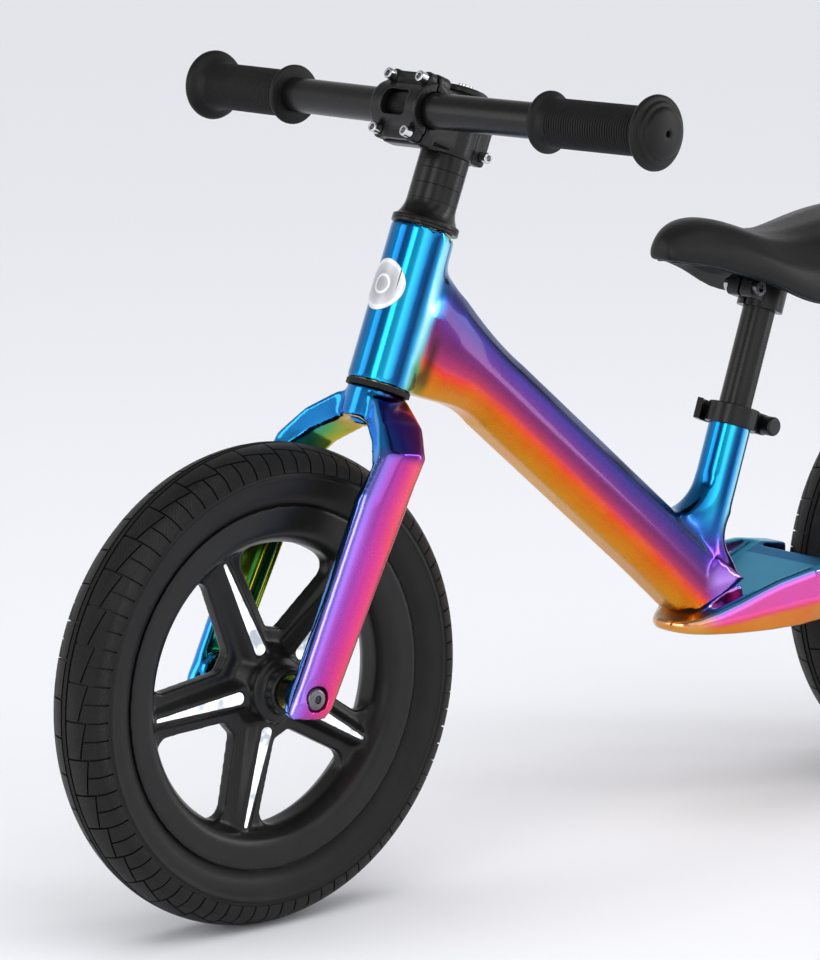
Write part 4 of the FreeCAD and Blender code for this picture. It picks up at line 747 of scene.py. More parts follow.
class BikeCastingSettings(bpy.types.PropertyGroup):
    """Sizes of the cast alloy pieces."""

    cell: bpy.props.FloatProperty(
        name="Surface cell", description="Size of the cells of a smoothed casting's surface",
        default=1.2 * MM, min=0.0005, unit="LENGTH", subtype="DISTANCE",
    )
    wheel_cell: bpy.props.FloatProperty(
        name="Wheel surface cell", description="Size of the cells of a wheel casting's surface",
        default=1.15 * MM, min=0.0005, unit="LENGTH", subtype="DISTANCE",
    )
    passes: bpy.props.IntProperty(
        name="Smoothing passes", description="How often the castings are smoothed",
        default=14, min=0,
    )


class BikeTyreSettings(bpy.types.PropertyGroup):
    """Sizes of the tyres' tread."""

    pitches: bpy.props.IntProperty(
        name="Tread pitches", description="How often the tread pattern repeats round the tyre",
        default=40, min=12,
    )
    depth: bpy.props.FloatProperty(
        name="Groove depth", description="How deep the tread grooves are",
        default=1.5 * MM, unit="LENGTH", subtype="DISTANCE",
    )
    groove: bpy.props.FloatProperty(
        name="Groove width", description="Width of the grooves between the blocks",
        default=1.1 * MM, unit="LENGTH", subtype="DISTANCE",
    )
    edge: bpy.props.FloatProperty(
        name="Tread edge", description="How far the tread reaches from the middle of the section",
        default=30.5 * MM, unit="LENGTH", subtype="DISTANCE",
    )


class BikeGripSettings(bpy.types.PropertyGroup):
    """Sizes of the grips."""

    ribs: bpy.props.IntProperty(
        name="Ribs", description="Number of ribs on a grip", default=36, min=4
    )
    depth: bpy.props.FloatProperty(
        name="Rib depth", description="How deep the gaps between the ribs are",
        default=0.9 * MM, unit="LENGTH", subtype="DISTANCE",
    )


class BikeStageSettings(bpy.types.PropertyGroup):
    """The floor, lights and camera."""

    floor: bpy.props.FloatVectorProperty(
        name="Floor", description="Colour of the floor",
        default=(0.72, 0.73, 0.76), subtype="COLOR",
    )
    lens: bpy.props.FloatProperty(
        name="Lens", description="Focal length of the camera in millimetres",
        default=156.12, min=1.0,
    )
    azimuth: bpy.props.FloatProperty(
        name="Azimuth", description="Where the camera stands, seen from above",
        default=math.radians(138.33), unit="ROTATION", subtype="ANGLE",
    )
    elevation: bpy.props.FloatProperty(
        name="Elevation", description="How far the camera looks down",
        default=math.radians(10.19), unit="ROTATION", subtype="ANGLE",
    )
    roll: bpy.props.FloatProperty(
        name="Roll", description="Tilt of the camera about its view",
        default=math.radians(0.54), unit="ROTATION", subtype="ANGLE",
    )


# ---- Castings ------------------------------------------------------------------------
def round_off(piece, cell, passes):
    """Softens every edge and corner of a piece."""
    modify(piece, "REMESH", mode="VOXEL", voxel_size=cell, use_smooth_shade=True)
    modify(piece, "SMOOTH", factor=0.5, iterations=passes)


def soft_casting(node, name, cell, passes):
    """A casting with its edges and corners softened."""
    piece = working_copy(node, name)
    round_off(piece, cell, passes)
    return piece


def soften_near(piece, spots, passes):
    """Smooths a piece more round some spots and their mirror images."""
    group = piece.vertex_groups.new(name="soft")
    points = places(piece)
    weight = np.zeros(len(points))
    for x, y, z, radius in spots:
        for side in (y, -y):
            away = np.linalg.norm(points - np.array((x, side, z)) * MM, axis=1)
            weight = np.maximum(weight, 1 - step(away, 0.5 * radius * MM, radius * MM))
    for level in np.unique(np.round(weight[weight > 0.02] * 10)):
        chosen = np.nonzero(np.round(weight * 10) == level)[0]
        group.add(chosen.tolist(), float(level) / 10, "REPLACE")
    modify(piece, "SMOOTH", factor=0.5, iterations=passes, vertex_group="soft")
    piece.vertex_groups.clear()


# Places where one form runs into another, as (x, y, z, radius) in millimetres. A spot off the
# middle stands for both sides.
FRAME_SOFT_SPOTS = (
    (-50, 0, 212, 26), (-66, 14, 204, 20), (-62, 0, 222, 20), (-78, 14, 196, 16),
    (176, 16, 397, 28), (184, 17, 382, 28), (190, 18, 366, 26), (197, 18, 350, 20),
    (165, 0, 398, 28), (-84, 8, 186, 16), (-86, 18, 184, 16),
)
YOKE_SOFT_SPOTS = ((-46, 0, 140, 24), (-60, 0, 150, 20))
LEG_EDGE_HALF = 56
LEG_EDGE_ROUNDING = 15
WHEEL_KEPT_SHARE = 0.8
FILLER_SINK = 0.9 * MM
LENS_ROUNDING = 0.9 * MM


def leg_edge_spots():
    """Spots along the fork legs' front outer edges, for a broad rounding."""
    spots = []
    for drop in np.linspace(84, 190, 16):
        ahead = np.interp(drop, (76, 205), (33.0, 40.5))
        spot = STEER_BASE / MM + STEER_FORWARD * ahead - STEER_UP * drop + LEFT * LEG_EDGE_HALF
        spots.append((*spot, LEG_EDGE_ROUNDING))
    return spots


class BIKE_OT_castings(bpy.types.Operator):
    """Frame, rear yoke and fork with their colour-shift coat"""

    bl_idname = "bike.castings"
    bl_label = "Frame castings"

    def execute(self, context):
        sizes = context.scene.bike_castings
        shapes = (
            ("main_frame", "frame_casting", "frame", frame_colours, FRAME_SOFT_SPOTS, 160),
            ("rear_yoke", "yoke_casting", "frame", yoke_colours, YOKE_SOFT_SPOTS, 60),
            ("fork", "fork_casting", "steering", fork_colours, leg_edge_spots(), 60),
        )
        for node, name, body, colours, spots, passes in shapes:
            piece = soft_casting(node, name, sizes.cell, sizes.passes)
            soften_near(piece, spots, passes)
            coat(piece, *colours(places(piece), normals(piece)))
            place(piece, body, "colour_shift_metal", node)
        return {"FINISHED"}


class BIKE_OT_wheels(bpy.types.Operator):
    """Five-spoke wheel castings with rounded windows"""

    bl_idname = "bike.wheels"
    bl_label = "Wheel castings"

    def execute(self, context):
        sizes = context.scene.bike_castings
        for end in ("front", "rear"):
            piece = working_copy(f"{end}_wheel", f"{end}_wheel_casting")
            filler = working_copy(f"{end}_led_strips", "pocket_filler")
            points = places(filler)
            points[:, 1] -= np.sign(points[:, 1]) * FILLER_SINK
            move_to(filler, points)
            only(piece, filler)
            bpy.ops.object.join()
            round_off(piece, sizes.wheel_cell, sizes.passes)
            modify(piece, "DECIMATE", decimate_type="COLLAPSE", ratio=WHEEL_KEPT_SHARE)
            smooth(piece)
            place(piece, f"{end}_wheel_body", "black_wheel_casting", f"{end}_wheel")
            lens = crisp_copy(f"{end}_led_strips", f"{end}_light_strips", LENS_ROUNDING, 4)
            place(lens, f"{end}_wheel_body", "light_lens", f"{end}_led_strips")
        return {"FINISHED"}


# ---- Tyres ---------------------------------------------------------------------------
TYRE_RADIUS = 150.0
# Each arc of the tyre's section through three points (radius, half width), millimetres.
SECTION_ARCS = (
    ((150.0, 0.0), (148.0, 10.66), (141.5, 20.5)),
    ((141.5, 20.5), (131.0, 23.5), (114.2, 16.6)),
    ((114.2, 16.6), (113.6, 15.8), (112.9, 15.1)),
    ((112.9, 15.1), (110.0, 15.05), (106.6, 14.9)),
    ((106.6, 14.9), (106.4, 12.6), (106.8, 10.3)),
    ((106.8, 10.3), (109.8, 10.4), (113.4, 11.6)),
    ((113.4, 11.6), (129.0, 20.3), (138.3, 17.3)),
    ((138.3, 17.3), (142.6, 8.75), (144.2, 0.0)),
)
POINTS_ON_ARC = 24

# The tread, by distance from its middle: a rib, a groove, and blocks with a slanting groove.
RIB_EDGE = 1.5 * MM
BLOCK_START = 2.9 * MM
SLANT_NEAR = 11.6 * MM
SLANT_FAR = 16.8 * MM
SLANT_MIDDLE = (SLANT_NEAR + SLANT_FAR) / 2
SLANT_MARGIN = 1.6 * MM
SHORT_GROOVE_START = SLANT_MIDDLE - 3.6 * MM
WIDE_GROOVE = 1.1
TILE_COLUMNS = 8
RIB_SINK = 0.5 * MM
NEAR = 0.1 * MM
WALL_SINK = 0.9 * MM
RIDGE_SINK = 0.35 * MM
TREAD_BEVEL = 0.22 * MM

# Where the tile is cut along its length, by distance from its middle in millimetres.
TREAD_CUTS = (0.75, 1.5, 2.9, 5.5, 8.5, 11.6, 14.2, 16.8, 19.5, 22.5, 25.5, 28.5)
EDGE_CUTS = (0.0, 0.4, 2.0, 2.4, 3.4, 3.8)
WALL_CUTS = (37.5, 40.5, 43.5, 46.0, 48.0, 49.0, 50.0, 51.0, 52.0)


def arc_points(a, b, c, count):
    """Points on the circle through three points, from the first towards the last."""
    (ax, ay), (bx, by), (cx, cy) = a, b, c
    d = 2 * (ax * (by - cy) + bx * (cy - ay) + cx * (ay - by))
    a2, b2, c2 = ax**2 + ay**2, bx**2 + by**2, cx**2 + cy**2
    ux = (a2 * (by - cy) + b2 * (cy - ay) + c2 * (ay - by)) / d
    uy = (a2 * (cx - bx) + b2 * (ax - cx) + c2 * (bx - ax)) / d
    radius = math.hypot(ax - ux, ay - uy)
    start = math.atan2(ay - uy, ax - ux)
    middle = math.atan2(by - uy, bx - ux)
    end = math.atan2(cy - uy, cx - ux)
    sweep = (end - start) % math.tau
    if (middle - start) % math.tau > sweep:
        sweep -= math.tau
    angles = [start + sweep * i / count for i in range(count)]
    return [(ux + radius * math.cos(turn), uy + radius * math.sin(turn)) for turn in angles]


def tyre_section():
    """The section's points, their distance round it and their outward normals, in metres."""
    points = []
    for arc in SECTION_ARCS:
        points += arc_points(*arc, POINTS_ON_ARC)
    points.append(SECTION_ARCS[-1][-1])
    points = np.array(points) * MM
    steps = np.linalg.norm(np.diff(points, axis=0), axis=1)
    distance = np.concatenate([[0], np.cumsum(steps)])
    slope = np.gradient(points, distance, axis=0)
    outward = np.stack([slope[:, 1], -slope[:, 0]], axis=1)
    outward /= np.linalg.norm(outward, axis=1)[:, None]
    outward[0] = (1, 0)
    outward[-1] = (-1, 0)
    return points, distance, outward


def tread_lines(sizes, pitch):
    """The grooves of one side as (start, end, width): straight runs in (along, across)."""
    edge = sizes.edge
    return [
        ((0.0, BLOCK_START), (0.0, edge), sizes.groove * WIDE_GROOVE),
        ((0.0, SLANT_NEAR), (pitch, SLANT_FAR), sizes.groove),
        ((pitch / 2, SLANT_MIDDLE), (pitch / 2, edge), sizes.groove),
    ]


def in_groove(along, across, sizes, pitch):
    """Whether a flat point of the tread lies in a groove."""
    side = abs(across)
    if side > sizes.edge or side < RIB_EDGE:
        return False
    if RIB_EDGE < side < BLOCK_START:
        return True
    shifted = (along + (pitch / 2 if across < 0 else 0.0)) % pitch
    for (s0, t0), (s1, t1), width in tread_lines(sizes, pitch):
        for wrap in (-pitch, 0.0, pitch):
            start = Vector((s0 + wrap, t0))
            run = Vector((s1 + wrap, t1)) - start
            reach = Vector((shifted, side)) - start
            share = reach.dot(run) / run.length_squared
            if 0 <= share <= 1 and abs(reach.cross(run)) / run.length < width / 2:
                return True
    return False


def tread_tile(sizes, pitch, half_length, stations):
    """One flat pitch of the tyre: along X, round the section along Y, with sunk grooves."""
    only()
    bpy.ops.mesh.primitive_plane_add(size=1)
    tile = bpy.context.object
    tile.name = "tread_tile"
    edit(tile, "FACE")
    bpy.ops.mesh.select_all(action="SELECT")
    bpy.ops.transform.translate(value=(0.5, 0, 0))
    bpy.ops.transform.resize(value=(pitch, 2 * half_length, 1), center_override=(0, 0, 0))
    edge = sizes.edge
    half = sizes.groove / 2

    def cut(point, normal, low=-1.0, high=1.0):
        pick_faces(tile, lambda middle, _: low < middle.y < high)
        bpy.ops.mesh.bisect(plane_co=(*point, 0), plane_no=(*normal, 0))

    def band(side, low, high):
        return (low, high) if side > 0 else (-high, -low)

    def crossways(side, at, width, low, high):
        low, high = band(side, low, high)
        for offset in (-width / 2, width / 2):
            for wrap in (-1, 0, 1):
                x = at + offset + wrap * pitch
                if 1e-6 < x < pitch - 1e-6:
                    cut((x, 0), (1, 0), low, high)

    for side in (1, -1):
        for across in stations:
            cut((0, side * across), (0, 1))
        shift = 0.0 if side > 0 else -pitch / 2
        crossways(side, shift, sizes.groove * WIDE_GROOVE, BLOCK_START, edge)
        crossways(side, pitch / 2 + shift, sizes.groove, SHORT_GROOVE_START, edge)
        run = Vector((pitch, SLANT_FAR - SLANT_NEAR)).normalized()
        normal = Vector((-run.y, run.x))
        low, high = band(side, SLANT_NEAR - SLANT_MARGIN, SLANT_FAR + SLANT_MARGIN)
        for wrap in (-1, 0, 1):
            for offset in (-half, half):
                point = Vector((shift + wrap * pitch, SLANT_NEAR)) + normal * offset
                cut((point.x, side * point.y), (normal.x, side * normal.y), low, high)
    for i in range(1, TILE_COLUMNS):
        cut((pitch * i / TILE_COLUMNS, 0), (1, 0))
    pick_faces(tile, lambda middle, _: in_groove(middle.x, middle.y, sizes, pitch))
    bpy.ops.mesh.extrude_region_move(TRANSFORM_OT_translate={"value": (0, 0, -sizes.depth)})

    def at_an_end(middle, normal):
        return abs(normal.x) > 0.9 and not 1e-6 < middle.x < pitch - 1e-6

    pick_faces(tile, at_an_end)
    bpy.ops.mesh.delete(type="ONLY_FACE")
    done()
    return tile


def tread_strip(sizes, pitch, half_length):
    """The whole tread and walls laid flat, as one row of tiles."""
    cuts = [*TREAD_CUTS, *(sizes.edge / MM + further for further in EDGE_CUTS), *WALL_CUTS]
    inner = np.linspace(0.0535, half_length - 0.002, 12).tolist()
    tile = tread_tile(sizes, pitch, half_length, [at * MM for at in cuts] + inner)
    tiles = [tile]
    for i in range(1, sizes.pitches):
        only(tile)
        bpy.ops.object.duplicate()
        copied = bpy.context.object
        copied.location.x = pitch * i
        tiles.append(copied)
    only(*tiles)
    bpy.ops.object.join()
    strip = bpy.context.object
    strip.name = strip.data.name = "front_tyre_tread"
    settle(strip)
    return strip


def mark_blocks(strip, edge):
    """Stores the tread's flat places as a UV map, and which vertices are on a block."""
    flat = places(strip)
    across = np.abs(flat[:, 1])
    corner = np.zeros(len(strip.data.loops), int)
    strip.data.loops.foreach_get("vertex_index", corner)
    spread = np.stack([flat[:, 0], across], axis=1)[corner]
    strip.data.uv_layers.new(name="tread").data.foreach_set("uv", spread.ravel())
    sunk = flat[:, 2] < -1e-6
    on_rib = across < RIB_EDGE - NEAR
    on_block = (~sunk & (across < edge + 1e-5) & (across > BLOCK_START - NEAR)) | on_rib
    blocks = strip.data.attributes.new("blocks", "FLOAT", "POINT")
    blocks.data.foreach_set("value", on_block.astype(np.float32))


def wall_relief(flat, edge):
    """How far each flat point stands out from the tyre's section."""
    across = np.abs(flat[:, 1])
    height = flat[:, 2].copy()
    outer = across < 50.5 * MM
    beyond = across > edge + 0.2 * MM
    height[beyond & outer] = -WALL_SINK
    height[(across > edge + 2.2 * MM) & (across < edge + 3.6 * MM)] = -RIDGE_SINK
    fade = np.where(outer, 1 - step(across, 40 * MM, 46 * MM), 0.0)
    height = np.where(beyond, height * fade, height)
    return np.where(across < RIB_EDGE - NEAR, -RIB_SINK, height)


class BIKE_OT_tyres(bpy.types.Operator):
    """Tyres with a block tread, cut grooves and smooth side walls"""

    bl_idname = "bike.tyres"
    bl_label = "Tyres"

    def execute(self, context):
        sizes = context.scene.bike_tyres
        section, distance, outward = tyre_section()
        pitch = math.tau * TYRE_RADIUS * MM / sizes.pitches
        tyre = tread_strip(sizes, pitch, float(distance[-1]))
        mark_blocks(tyre, sizes.edge)
        flat = places(tyre)
        across = np.abs(flat[:, 1])
        height = wall_relief(flat, sizes.edge)
        radius, half, out_radius, out_half = (
            np.interp(across, distance, values)
            for values in (section[:, 0], section[:, 1], outward[:, 0], outward[:, 1])
        )
        radius = radius + out_radius * height
        half = (half + out_half * height) * np.sign(flat[:, 1])
        angle = flat[:, 0] / (TYRE_RADIUS * MM)
        move_to(tyre, np.stack([radius * np.cos(angle), half, radius * np.sin(angle)], axis=1))
        close_up(tyre, 20 * MERGE_DISTANCE)
        modify(
            tyre, "BEVEL", width=TREAD_BEVEL, segments=1, limit_method="ANGLE",
            angle_limit=math.radians(40),
        )
        smooth(tyre, CRISP_DEGREES)
        rear = tyre.copy()
        rear.data = tyre.data.copy()
        rear.name = rear.data.name = "rear_tyre_tread"
        context.scene.collection.objects.link(rear)
        for end, piece, hub in (("front", tyre, FRONT_HUB), ("rear", rear, REAR_HUB)):
            settle(piece, Matrix.Translation(hub))
            place(piece, f"{end}_wheel_body", "tyre_rubber", f"{end}_tyre")
        return {"FINISHED"}


# ---- Handlebar, grips and stem -------------------------------------------------------
BAR_RADIUS = 11.1
BAR_BORE = 9.1
BAR_BEND_START = 25.0
BAR_BEND_RADIUS = 120.0
BAR_SWEEP = math.radians(2.87)
KNURL_HALF = 24.0
KNURL_SINK = 0.3 * MM
KNURL_TEETH = 80
ROWS_PER_TOOTH = 3
BAR_STEPS = ROWS_PER_TOOTH * KNURL_TEETH
GRIP_BORE = 11.15
GRIP_SLEEVE = 15.0
RIBS_FROM, RIBS_TO = 9.0, 79.5

# The grip's two ends, as (radius, distance out from its inner face) in millimetres.
GRIP_FLANGE = (
    (17.6, 0.0), (18.6, 0.35), (19.0, 1.2), (19.0, 2.6), (18.4, 3.6), (16.6, 4.4), (15.7, 5.4),
    (15.1, 7.4),
)
GRIP_END = (
    (15.0, 80.1), (15.6, 81.6), (17.6, 83.6), (20.6, 85.0), (22.1, 86.2), (22.6, 87.6),
    (22.4, 89.0), (21.4, 90.0), (19.9, 90.4), (18.9, 90.5), (18.6, 90.9), (18.6, 92.2),
    (18.2, 92.9), (17.2, 93.2), (15.9, 93.2), (15.5, 93.5), (15.4, 94.4), (14.9, 95.4),
    (13.2, 96.3), (9.0, 97.3), (4.0, 97.7), (2.3, 97.75), (1.9, 97.4), (1.9, 94.8),
)


def grip_outline(sizes):
    """A grip's outline as (radius, distance out from its inner face), millimetres."""
    pitch = (RIBS_TO - RIBS_FROM) / sizes.ribs
    groove = GRIP_SLEEVE - sizes.depth / MM
    crest = GRIP_SLEEVE
    shoulder = crest - 0.2
    outline = [(GRIP_BORE, 0.0), *GRIP_FLANGE]
    for i in range(sizes.ribs):
        at = RIBS_FROM + i * pitch
        rib = ((groove, 0.0), (groove, 0.22), (shoulder, 0.36), (crest, 0.52), (crest, 0.72))
        outline += [(radius, at + share * pitch) for radius, share in (*rib, (shoulder, 0.88))]
    return [*outline, (groove, RIBS_TO), *GRIP_END, (GRIP_BORE, 94.6), (GRIP_BORE, 0.0)]


class BIKE_OT_grips(bpy.types.Operator):
    """Ribbed rubber grips with flanges and a domed end"""

    bl_idname = "bike.grips"
    bl_label = "Grips"

    def execute(self, context):
        sizes = context.scene.bike_grips
        outward = Vector((-math.sin(BAR_SWEEP), math.cos(BAR_SWEEP), 0))
        points = places(NODES["left_grip"])
        along = points @ np.array(outward)
        inner = points[along < along.min() + NEAR]
        start = (inner.min(axis=0) + inner.max(axis=0)) / 2
        start[1] = inner[:, 1].mean()
        for side, name in ((1, "left_grip"), (-1, "right_grip")):
            base = Vector((start[0], start[1] * side, start[2]))
            axis = Vector((outward.x, outward.y * side, 0))
            piece = lathe(f"{name}_sleeve", grip_outline(sizes), frame_matrix(base, axis), 80)
            smooth(piece, 50)
            place(piece, "steering", "grip_rubber", name)
        return {"FINISHED"}


def bar_outline(half):
    """The straight bar's outline as (radius, height) in millimetres, with rings at its bends."""
    heights = [0.0, 6.0, 12.0, 18.0, KNURL_HALF - 0.4, KNURL_HALF, 25.0, 27.0, 29.0, 31.0, 34.0]
    heights += np.linspace(40.0, half - 0.6, 12).tolist()
    upper = [(BAR_RADIUS, height) for height in heights] + [(BAR_RADIUS - 0.5, half)]
    upper += [(BAR_BORE, height) for height in (half, 31.0, 28.0, 25.0, 0.0)]
    lower = [(radius, -height) for radius, height in reversed(upper[:-1])]
    return upper + lower[:-1] + [(BAR_RADIUS, 0.0)]


class BIKE_OT_cockpit(bpy.types.Operator):
    """Handlebar with its knurled middle, and the forged stem"""

    bl_idname = "bike.cockpit"
    bl_label = "Handlebar and stem"

    def execute(self, context):
        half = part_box("handlebar")[1].y / MM
        along_y = Matrix.Rotation(math.radians(-90), 4, "X")
        bar = lathe("handlebar_tube", bar_outline(half), along_y, BAR_STEPS)
        points = places(bar)
        along = np.abs(points[:, 1]) / MM
        radius = np.hypot(points[:, 0], points[:, 2])
        turn = np.arctan2(points[:, 2], points[:, 0])
        row = np.round(np.degrees(turn) * BAR_STEPS / 360).astype(int)
        knurled = (along < KNURL_HALF - 0.2) & (radius > (BAR_RADIUS - 0.2) * MM)
        sink = np.where(knurled & (row % ROWS_PER_TOOTH == 0), KNURL_SINK, 0.0)
        points[:, 0] *= 1 - sink / radius
        points[:, 2] *= 1 - sink / radius
        bend_end = BAR_BEND_START + BAR_BEND_RADIUS * math.sin(BAR_SWEEP)
        bent = np.clip(along - BAR_BEND_START, 0, bend_end - BAR_BEND_START)
        back = BAR_BEND_RADIUS - np.sqrt(BAR_BEND_RADIUS**2 - bent**2)
        back += np.clip(along - bend_end, 0, None) * math.tan(BAR_SWEEP)
        packed = places(NODES["handlebar"])
        middle = packed[np.abs(packed[:, 1]) < (BAR_BEND_START + 1) * MM]
        middle = (middle.min(axis=0) + middle.max(axis=0)) / 2
        points[:, 0] += middle[0] - back * MM
        points[:, 2] += middle[2]
        move_to(bar, points)
        close_up(bar)
        smooth(bar, 40)
        place(bar, "steering", "black_alloy", "handlebar")
        for node, name, cell, passes in (
            ("stem", "stem_forging", 0.8 * MM, 14),
            ("stem_faceplate", "stem_front_plate", 0.7 * MM, 8),
        ):
            piece = soft_casting(node, name, cell, passes)
            smooth(piece)
            place(piece, "steering", "black_alloy", node)
        return {"FINISHED"}


# ---- Turned pieces and small fittings ------------------------------------------------
STEERER_BORE = 12.75
PILLAR_WALL = 1.8
SPACERS = 3
RING_CHAMFER = 0.25

# The bearing cover's rim, as (step in from the rim, height above its foot) in millimetres.
COVER_RIM = (
    (0.3, 0.0), (0.0, 0.3), (0.0, 1.6), (0.35, 1.9), (0.0, 2.2), (0.0, 4.2), (0.5, 4.8),
    (1.4, 5.0),
)
COVER_FLARE = 2.2
# Each fitting as node, name, body and rounding in millimetres.
SMALL_FITTINGS = (
    ("faceplate_bolts", "faceplate_screws", "steering", 0.3),
    ("stem_pinch_bolts", "pinch_screws", "steering", 0.3),
    ("top_cap_bolt", "cap_screw", "steering", 0.3),
    ("top_cap", "stem_cap", "steering", 0.5),
    ("front_axle_bolts", "front_axle_screws", "steering", 0.25),
    ("rear_axle_bolts", "rear_axle_screws", "frame", 0.25),
    ("seat_collar", "seat_clamp_ring", "frame", 0.8),
    ("collar_nut", "clamp_nut", "frame", 0.6),
    ("saddle_clamp", "saddle_clamp_body", "seat", 0.6),
    ("collar_lever", "clamp_lever", "quick_release_lever", 0.6),
    ("head_badge", "badge_plate", "frame", 0.5),
)


def reach(node, base, along):
    """A node's lowest and highest point along an axis, and its greatest radius, in millimetres."""
    rel = (places(NODES[node]) - np.array(base)) / MM
    height = rel @ np.array(along)
    radius = np.linalg.norm(rel - height[:, None] * np.array(along), axis=1)
    return float(height.min()), float(height.max()), float(radius.max())


def cover_outline(low, high, rim, inner, neck):
    """The bearing cover: an upright rim and a hollow flare up to the spacers."""
    outline = [(inner, low), *((rim - inset, low + up) for inset, up in COVER_RIM)]
    start = low + 5.4
    for share in np.linspace(0, 1, 14):
        radius = neck + (rim - 2.0 - neck) * (1 - share) ** COVER_FLARE
        outline.append((radius, start + (high - start) * share))
    return outline + [(inner, high), (inner, low)]


def ring_outline(low, high, radius, inner):
    """A plain ring with small chamfers."""
    edge = radius - RING_CHAMFER
    return [
        (inner, low), (edge, low), (radius, low + RING_CHAMFER), (radius, high - RING_CHAMFER),
        (edge, high), (inner, high), (inner, low),
    ]


class BIKE_OT_turned(bpy.types.Operator):
    """Turned pieces: bearing cover, spacers and seat pillar"""

    bl_idname = "bike.turned"
    bl_label = "Turned pieces"

    def execute(self, context):
        steering = frame_matrix(STEER_BASE, STEER_UP)
        low, high, rim = reach("headset_cover", STEER_BASE, STEER_UP)
        bottom, top, neck = reach("headset_spacers", STEER_BASE, STEER_UP)
        outline = cover_outline(low, high, rim, STEERER_BORE, neck)
        cover = lathe("bearing_cover", outline, steering)
        rings = []
        height = (top - bottom) / SPACERS
        for i in range(SPACERS):
            at = bottom + i * height
            outline = ring_outline(at, at + height, neck, STEERER_BORE)
            rings.append(lathe("spacer_rings", outline, steering))
        only(*rings)
        bpy.ops.object.join()
        rings = bpy.context.object
        rings.name = "spacer_rings"
        low, high, radius = reach("seatpost", SEAT_TOP, SEAT_UP)
        outline = ring_outline(low, high, radius, radius - PILLAR_WALL)
        pillar = lathe("seat_pillar", outline, frame_matrix(SEAT_TOP, SEAT_UP))
        for piece, body, node in (
            (cover, "steering", "headset_cover"),
            (rings, "steering", "headset_spacers"),
            (pillar, "seat", "seatpost"),
        ):
            smooth(piece, 40)
            place(piece, body, "black_alloy", node)
        return {"FINISHED"}


class BIKE_OT_small_fittings(bpy.types.Operator):
    """Bolts, rings, collar and badge with small rounded edges"""

    bl_idname = "bike.small_fittings"
    bl_label = "Bolts and rings"

    def execute(self, context):
        for node, name, body, rounding in SMALL_FITTINGS:
            piece = crisp_copy(node, name, rounding * MM)
            place(piece, body, slot_of(NODES[node]), node)
        return {"FINISHED"}


class BIKE_OT_saddle(bpy.types.Operator):
    """Padded saddle with a rounded nose"""

    bl_idname = "bike.saddle"
    bl_label = "Saddle"

    def execute(self, context):
        piece = soft_casting("saddle_cover", "saddle_pad", 1.8 * MM, 30)
        smooth(piece)
        place(piece, "seat", "saddle_skin", "saddle_cover")
        return {"FINISHED"}


class BIKE_OT_fittings(bpy.types.Operator):
    """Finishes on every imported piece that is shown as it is"""

    bl_idname = "bike.fittings"
    bl_label = "Fittings"

    def execute(self, context):
        for node in NODES.values():
            if node.hide_render:
                continue
            slot = slot_of(node)
            if slot not in FINISHES:
                raise RuntimeError(f"{node.name} has no finish for {slot}")
            node.material_slots[0].material = FINISHES[slot]
        return {"FINISHED"}


# ---- Stage ---------------------------------------------------------------------------
AIM = Vector((0.0, 0.0, 0.28))
# Each light as name, place, width, height and power.
STUDIO_LIGHTS = (
    ("key", (0.2, 2.6, 1.9), 3.6, 2.8, 30.0),
    ("side_strip", (2.4, 0.9, 0.9), 0.7, 2.2, 16.0),
    ("front_fill", (2.6, -1.4, 1.2), 1.2, 1.8, 14.0),
    ("back_strip", (-1.9, 1.6, 1.0), 0.3, 2.0, 16.0),
)
# The studio's brightness from the horizon up to the ceiling.
STUDIO_SHADES = ((0.0, 0.85), (0.3, 0.72), (0.5, 0.4), (0.7, 0.24), (1.0, 0.3))
STUDIO_BLUE = 1.03
CAMERA_SPOT = Vector((1.90541, 1.92179, 0.72581))


def soft_light(name, spot, width, height, power):
    """A rectangular studio light aimed at the bike."""
    only()
    bpy.ops.object.light_add(type="AREA", location=spot)
    lamp = bpy.context.object
    lamp.name = lamp.data.name = name
    lamp.data.shape = "RECTANGLE"
    lamp.data.size = width
    lamp.data.size_y = height
    lamp.data.energy = power
    lamp.rotation_euler = (AIM - Vector(spot)).to_track_quat("-Z", "Y").to_euler()


def overhead_light():
    """A broad, even light on the floor, left out of the bike's reflections."""
    bpy.ops.object.light_add(type="SUN", location=(0.4, 0.3, 3.0), rotation=(-0.12, 0.1, 0))
    lamp = bpy.context.object
    lamp.name = lamp.data.name = "overhead"
    lamp.data.energy = 2.3
    lamp.data.angle = math.radians(70)
    lamp.visible_glossy = False


def studio(scene):
    """Surroundings that are brightest at the horizon."""
    world = bpy.data.worlds.new("studio")
    scene.world = world
    world.use_nodes = True
    nodes, links = world.node_tree.nodes, world.node_tree.links
    coordinates = nodes.new("ShaderNodeTexCoord")
    split = nodes.new("ShaderNodeSeparateXYZ")
    ramp = nodes.new("ShaderNodeValToRGB")
    links.new(coordinates.outputs["Generated"], split.inputs["Vector"])
    links.new(split.outputs["Z"], ramp.inputs["Fac"])
    links.new(ramp.outputs["Color"], nodes["Background"].inputs["Color"])
    stops = ramp.color_ramp.elements
    while len(stops) < len(STUDIO_SHADES):
        stops.new(0.5)
    for stop, (at, shade) in zip(stops, STUDIO_SHADES):
        stop.position = at
        stop.color = (shade, shade, shade * STUDIO_BLUE, 1)


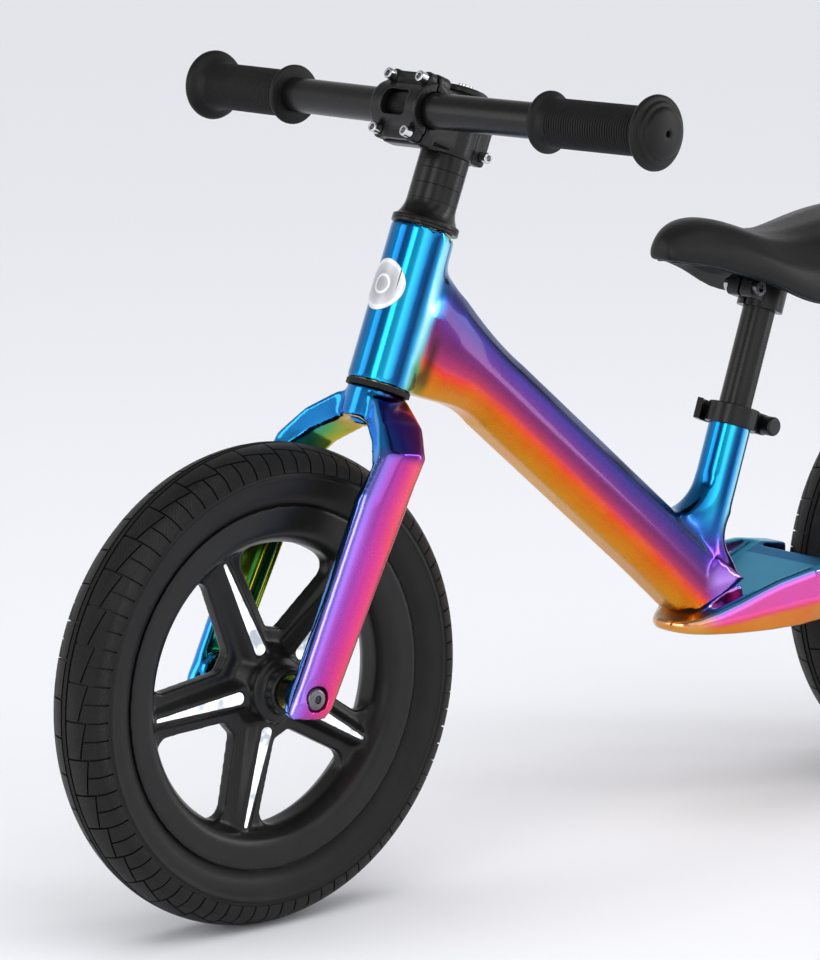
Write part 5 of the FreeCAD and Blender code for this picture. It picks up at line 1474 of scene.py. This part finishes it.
def add_camera(scene, setup):
    """The camera, turned by its azimuth, elevation and roll."""
    level = math.cos(setup.elevation)
    back = Vector((
        math.sin(setup.azimuth) * level, -math.cos(setup.azimuth) * level,
        math.sin(setup.elevation),
    ))
    right = Vector((0, 0, 1)).cross(back).normalized()
    up = back.cross(right)
    tilted = right * math.cos(setup.roll) + up * math.sin(setup.roll)
    up = up * math.cos(setup.roll) - right * math.sin(setup.roll)
    bpy.ops.object.camera_add(location=CAMERA_SPOT)
    camera = bpy.context.object
    camera.name = "camera"
    camera.data.lens = setup.lens
    camera.data.sensor_width = 36.0
    camera.data.clip_end = 100.0
    camera.rotation_euler = Matrix((tilted, up, back)).transposed().to_euler()
    scene.camera = camera


class BIKE_OT_stage(bpy.types.Operator):
    """Pale floor, soft studio light and the camera"""

    bl_idname = "bike.stage"
    bl_label = "Stage"

    def execute(self, context):
        scene = context.scene
        setup = scene.bike_stage
        only()
        bpy.ops.mesh.primitive_plane_add(size=60.0)
        floor = bpy.context.object
        floor.name = "floor"
        paint = Finish("floor_paint", tuple(setup.floor), Roughness=0.6, Specular_IOR_Level=0.2)
        floor.data.materials.append(paint.material)
        studio(scene)
        for light in STUDIO_LIGHTS:
            soft_light(*light)
        overhead_light()
        add_camera(scene, setup)
        scene.view_settings.view_transform = "Standard"
        return {"FINISHED"}


class BIKE_PT_panel(bpy.types.Panel):
    """The bike's pieces and their sizes"""

    bl_label = "Balance Bike"
    bl_idname = "BIKE_PT_panel"
    bl_space_type = "VIEW_3D"
    bl_region_type = "UI"
    bl_category = "Bike"

    def draw(self, context):
        groups = (
            ("bike_castings", ("bike.castings", "bike.wheels")),
            ("bike_tyres", ("bike.tyres",)),
            ("bike_grips", ("bike.grips", "bike.cockpit")),
            ("bike_stage", ("bike.stage",)),
        )
        for operator in ("bike.turned", "bike.small_fittings", "bike.saddle", "bike.fittings"):
            self.layout.operator(operator)
        for group, operators in groups:
            box = self.layout.box()
            settings = getattr(context.scene, group)
            for key in settings.__annotations__:
                box.prop(settings, key)
            for operator in operators:
                box.operator(operator)


SETTINGS = {
    "bike_castings": BikeCastingSettings,
    "bike_tyres": BikeTyreSettings,
    "bike_grips": BikeGripSettings,
    "bike_stage": BikeStageSettings,
}
OPERATORS = (
    BIKE_OT_castings,
    BIKE_OT_wheels,
    BIKE_OT_tyres,
    BIKE_OT_grips,
    BIKE_OT_cockpit,
    BIKE_OT_turned,
    BIKE_OT_small_fittings,
    BIKE_OT_saddle,
    BIKE_OT_fittings,
    BIKE_OT_stage,
)


def register():
    """Adds the settings, operators and panel."""
    for name, group in SETTINGS.items():
        bpy.utils.register_class(group)
        setattr(bpy.types.Scene, name, bpy.props.PointerProperty(type=group))
    for operator in OPERATORS:
        bpy.utils.register_class(operator)
    bpy.utils.register_class(BIKE_PT_panel)


def unregister():
    """Takes the settings, operators and panel away."""
    bpy.utils.unregister_class(BIKE_PT_panel)
    for operator in reversed(OPERATORS):
        bpy.utils.unregister_class(operator)
    for name, group in SETTINGS.items():
        delattr(bpy.types.Scene, name)
        bpy.utils.unregister_class(group)


def main():
    """Builds every piece in order."""
    register()
    make_finishes()
    bpy.ops.bike.castings()
    bpy.ops.bike.wheels()
    bpy.ops.bike.tyres()
    bpy.ops.bike.grips()
    bpy.ops.bike.cockpit()
    bpy.ops.bike.turned()
    bpy.ops.bike.small_fittings()
    bpy.ops.bike.saddle()
    bpy.ops.bike.fittings()
    bpy.ops.bike.stage()


if __name__ == "__main__":
    main()
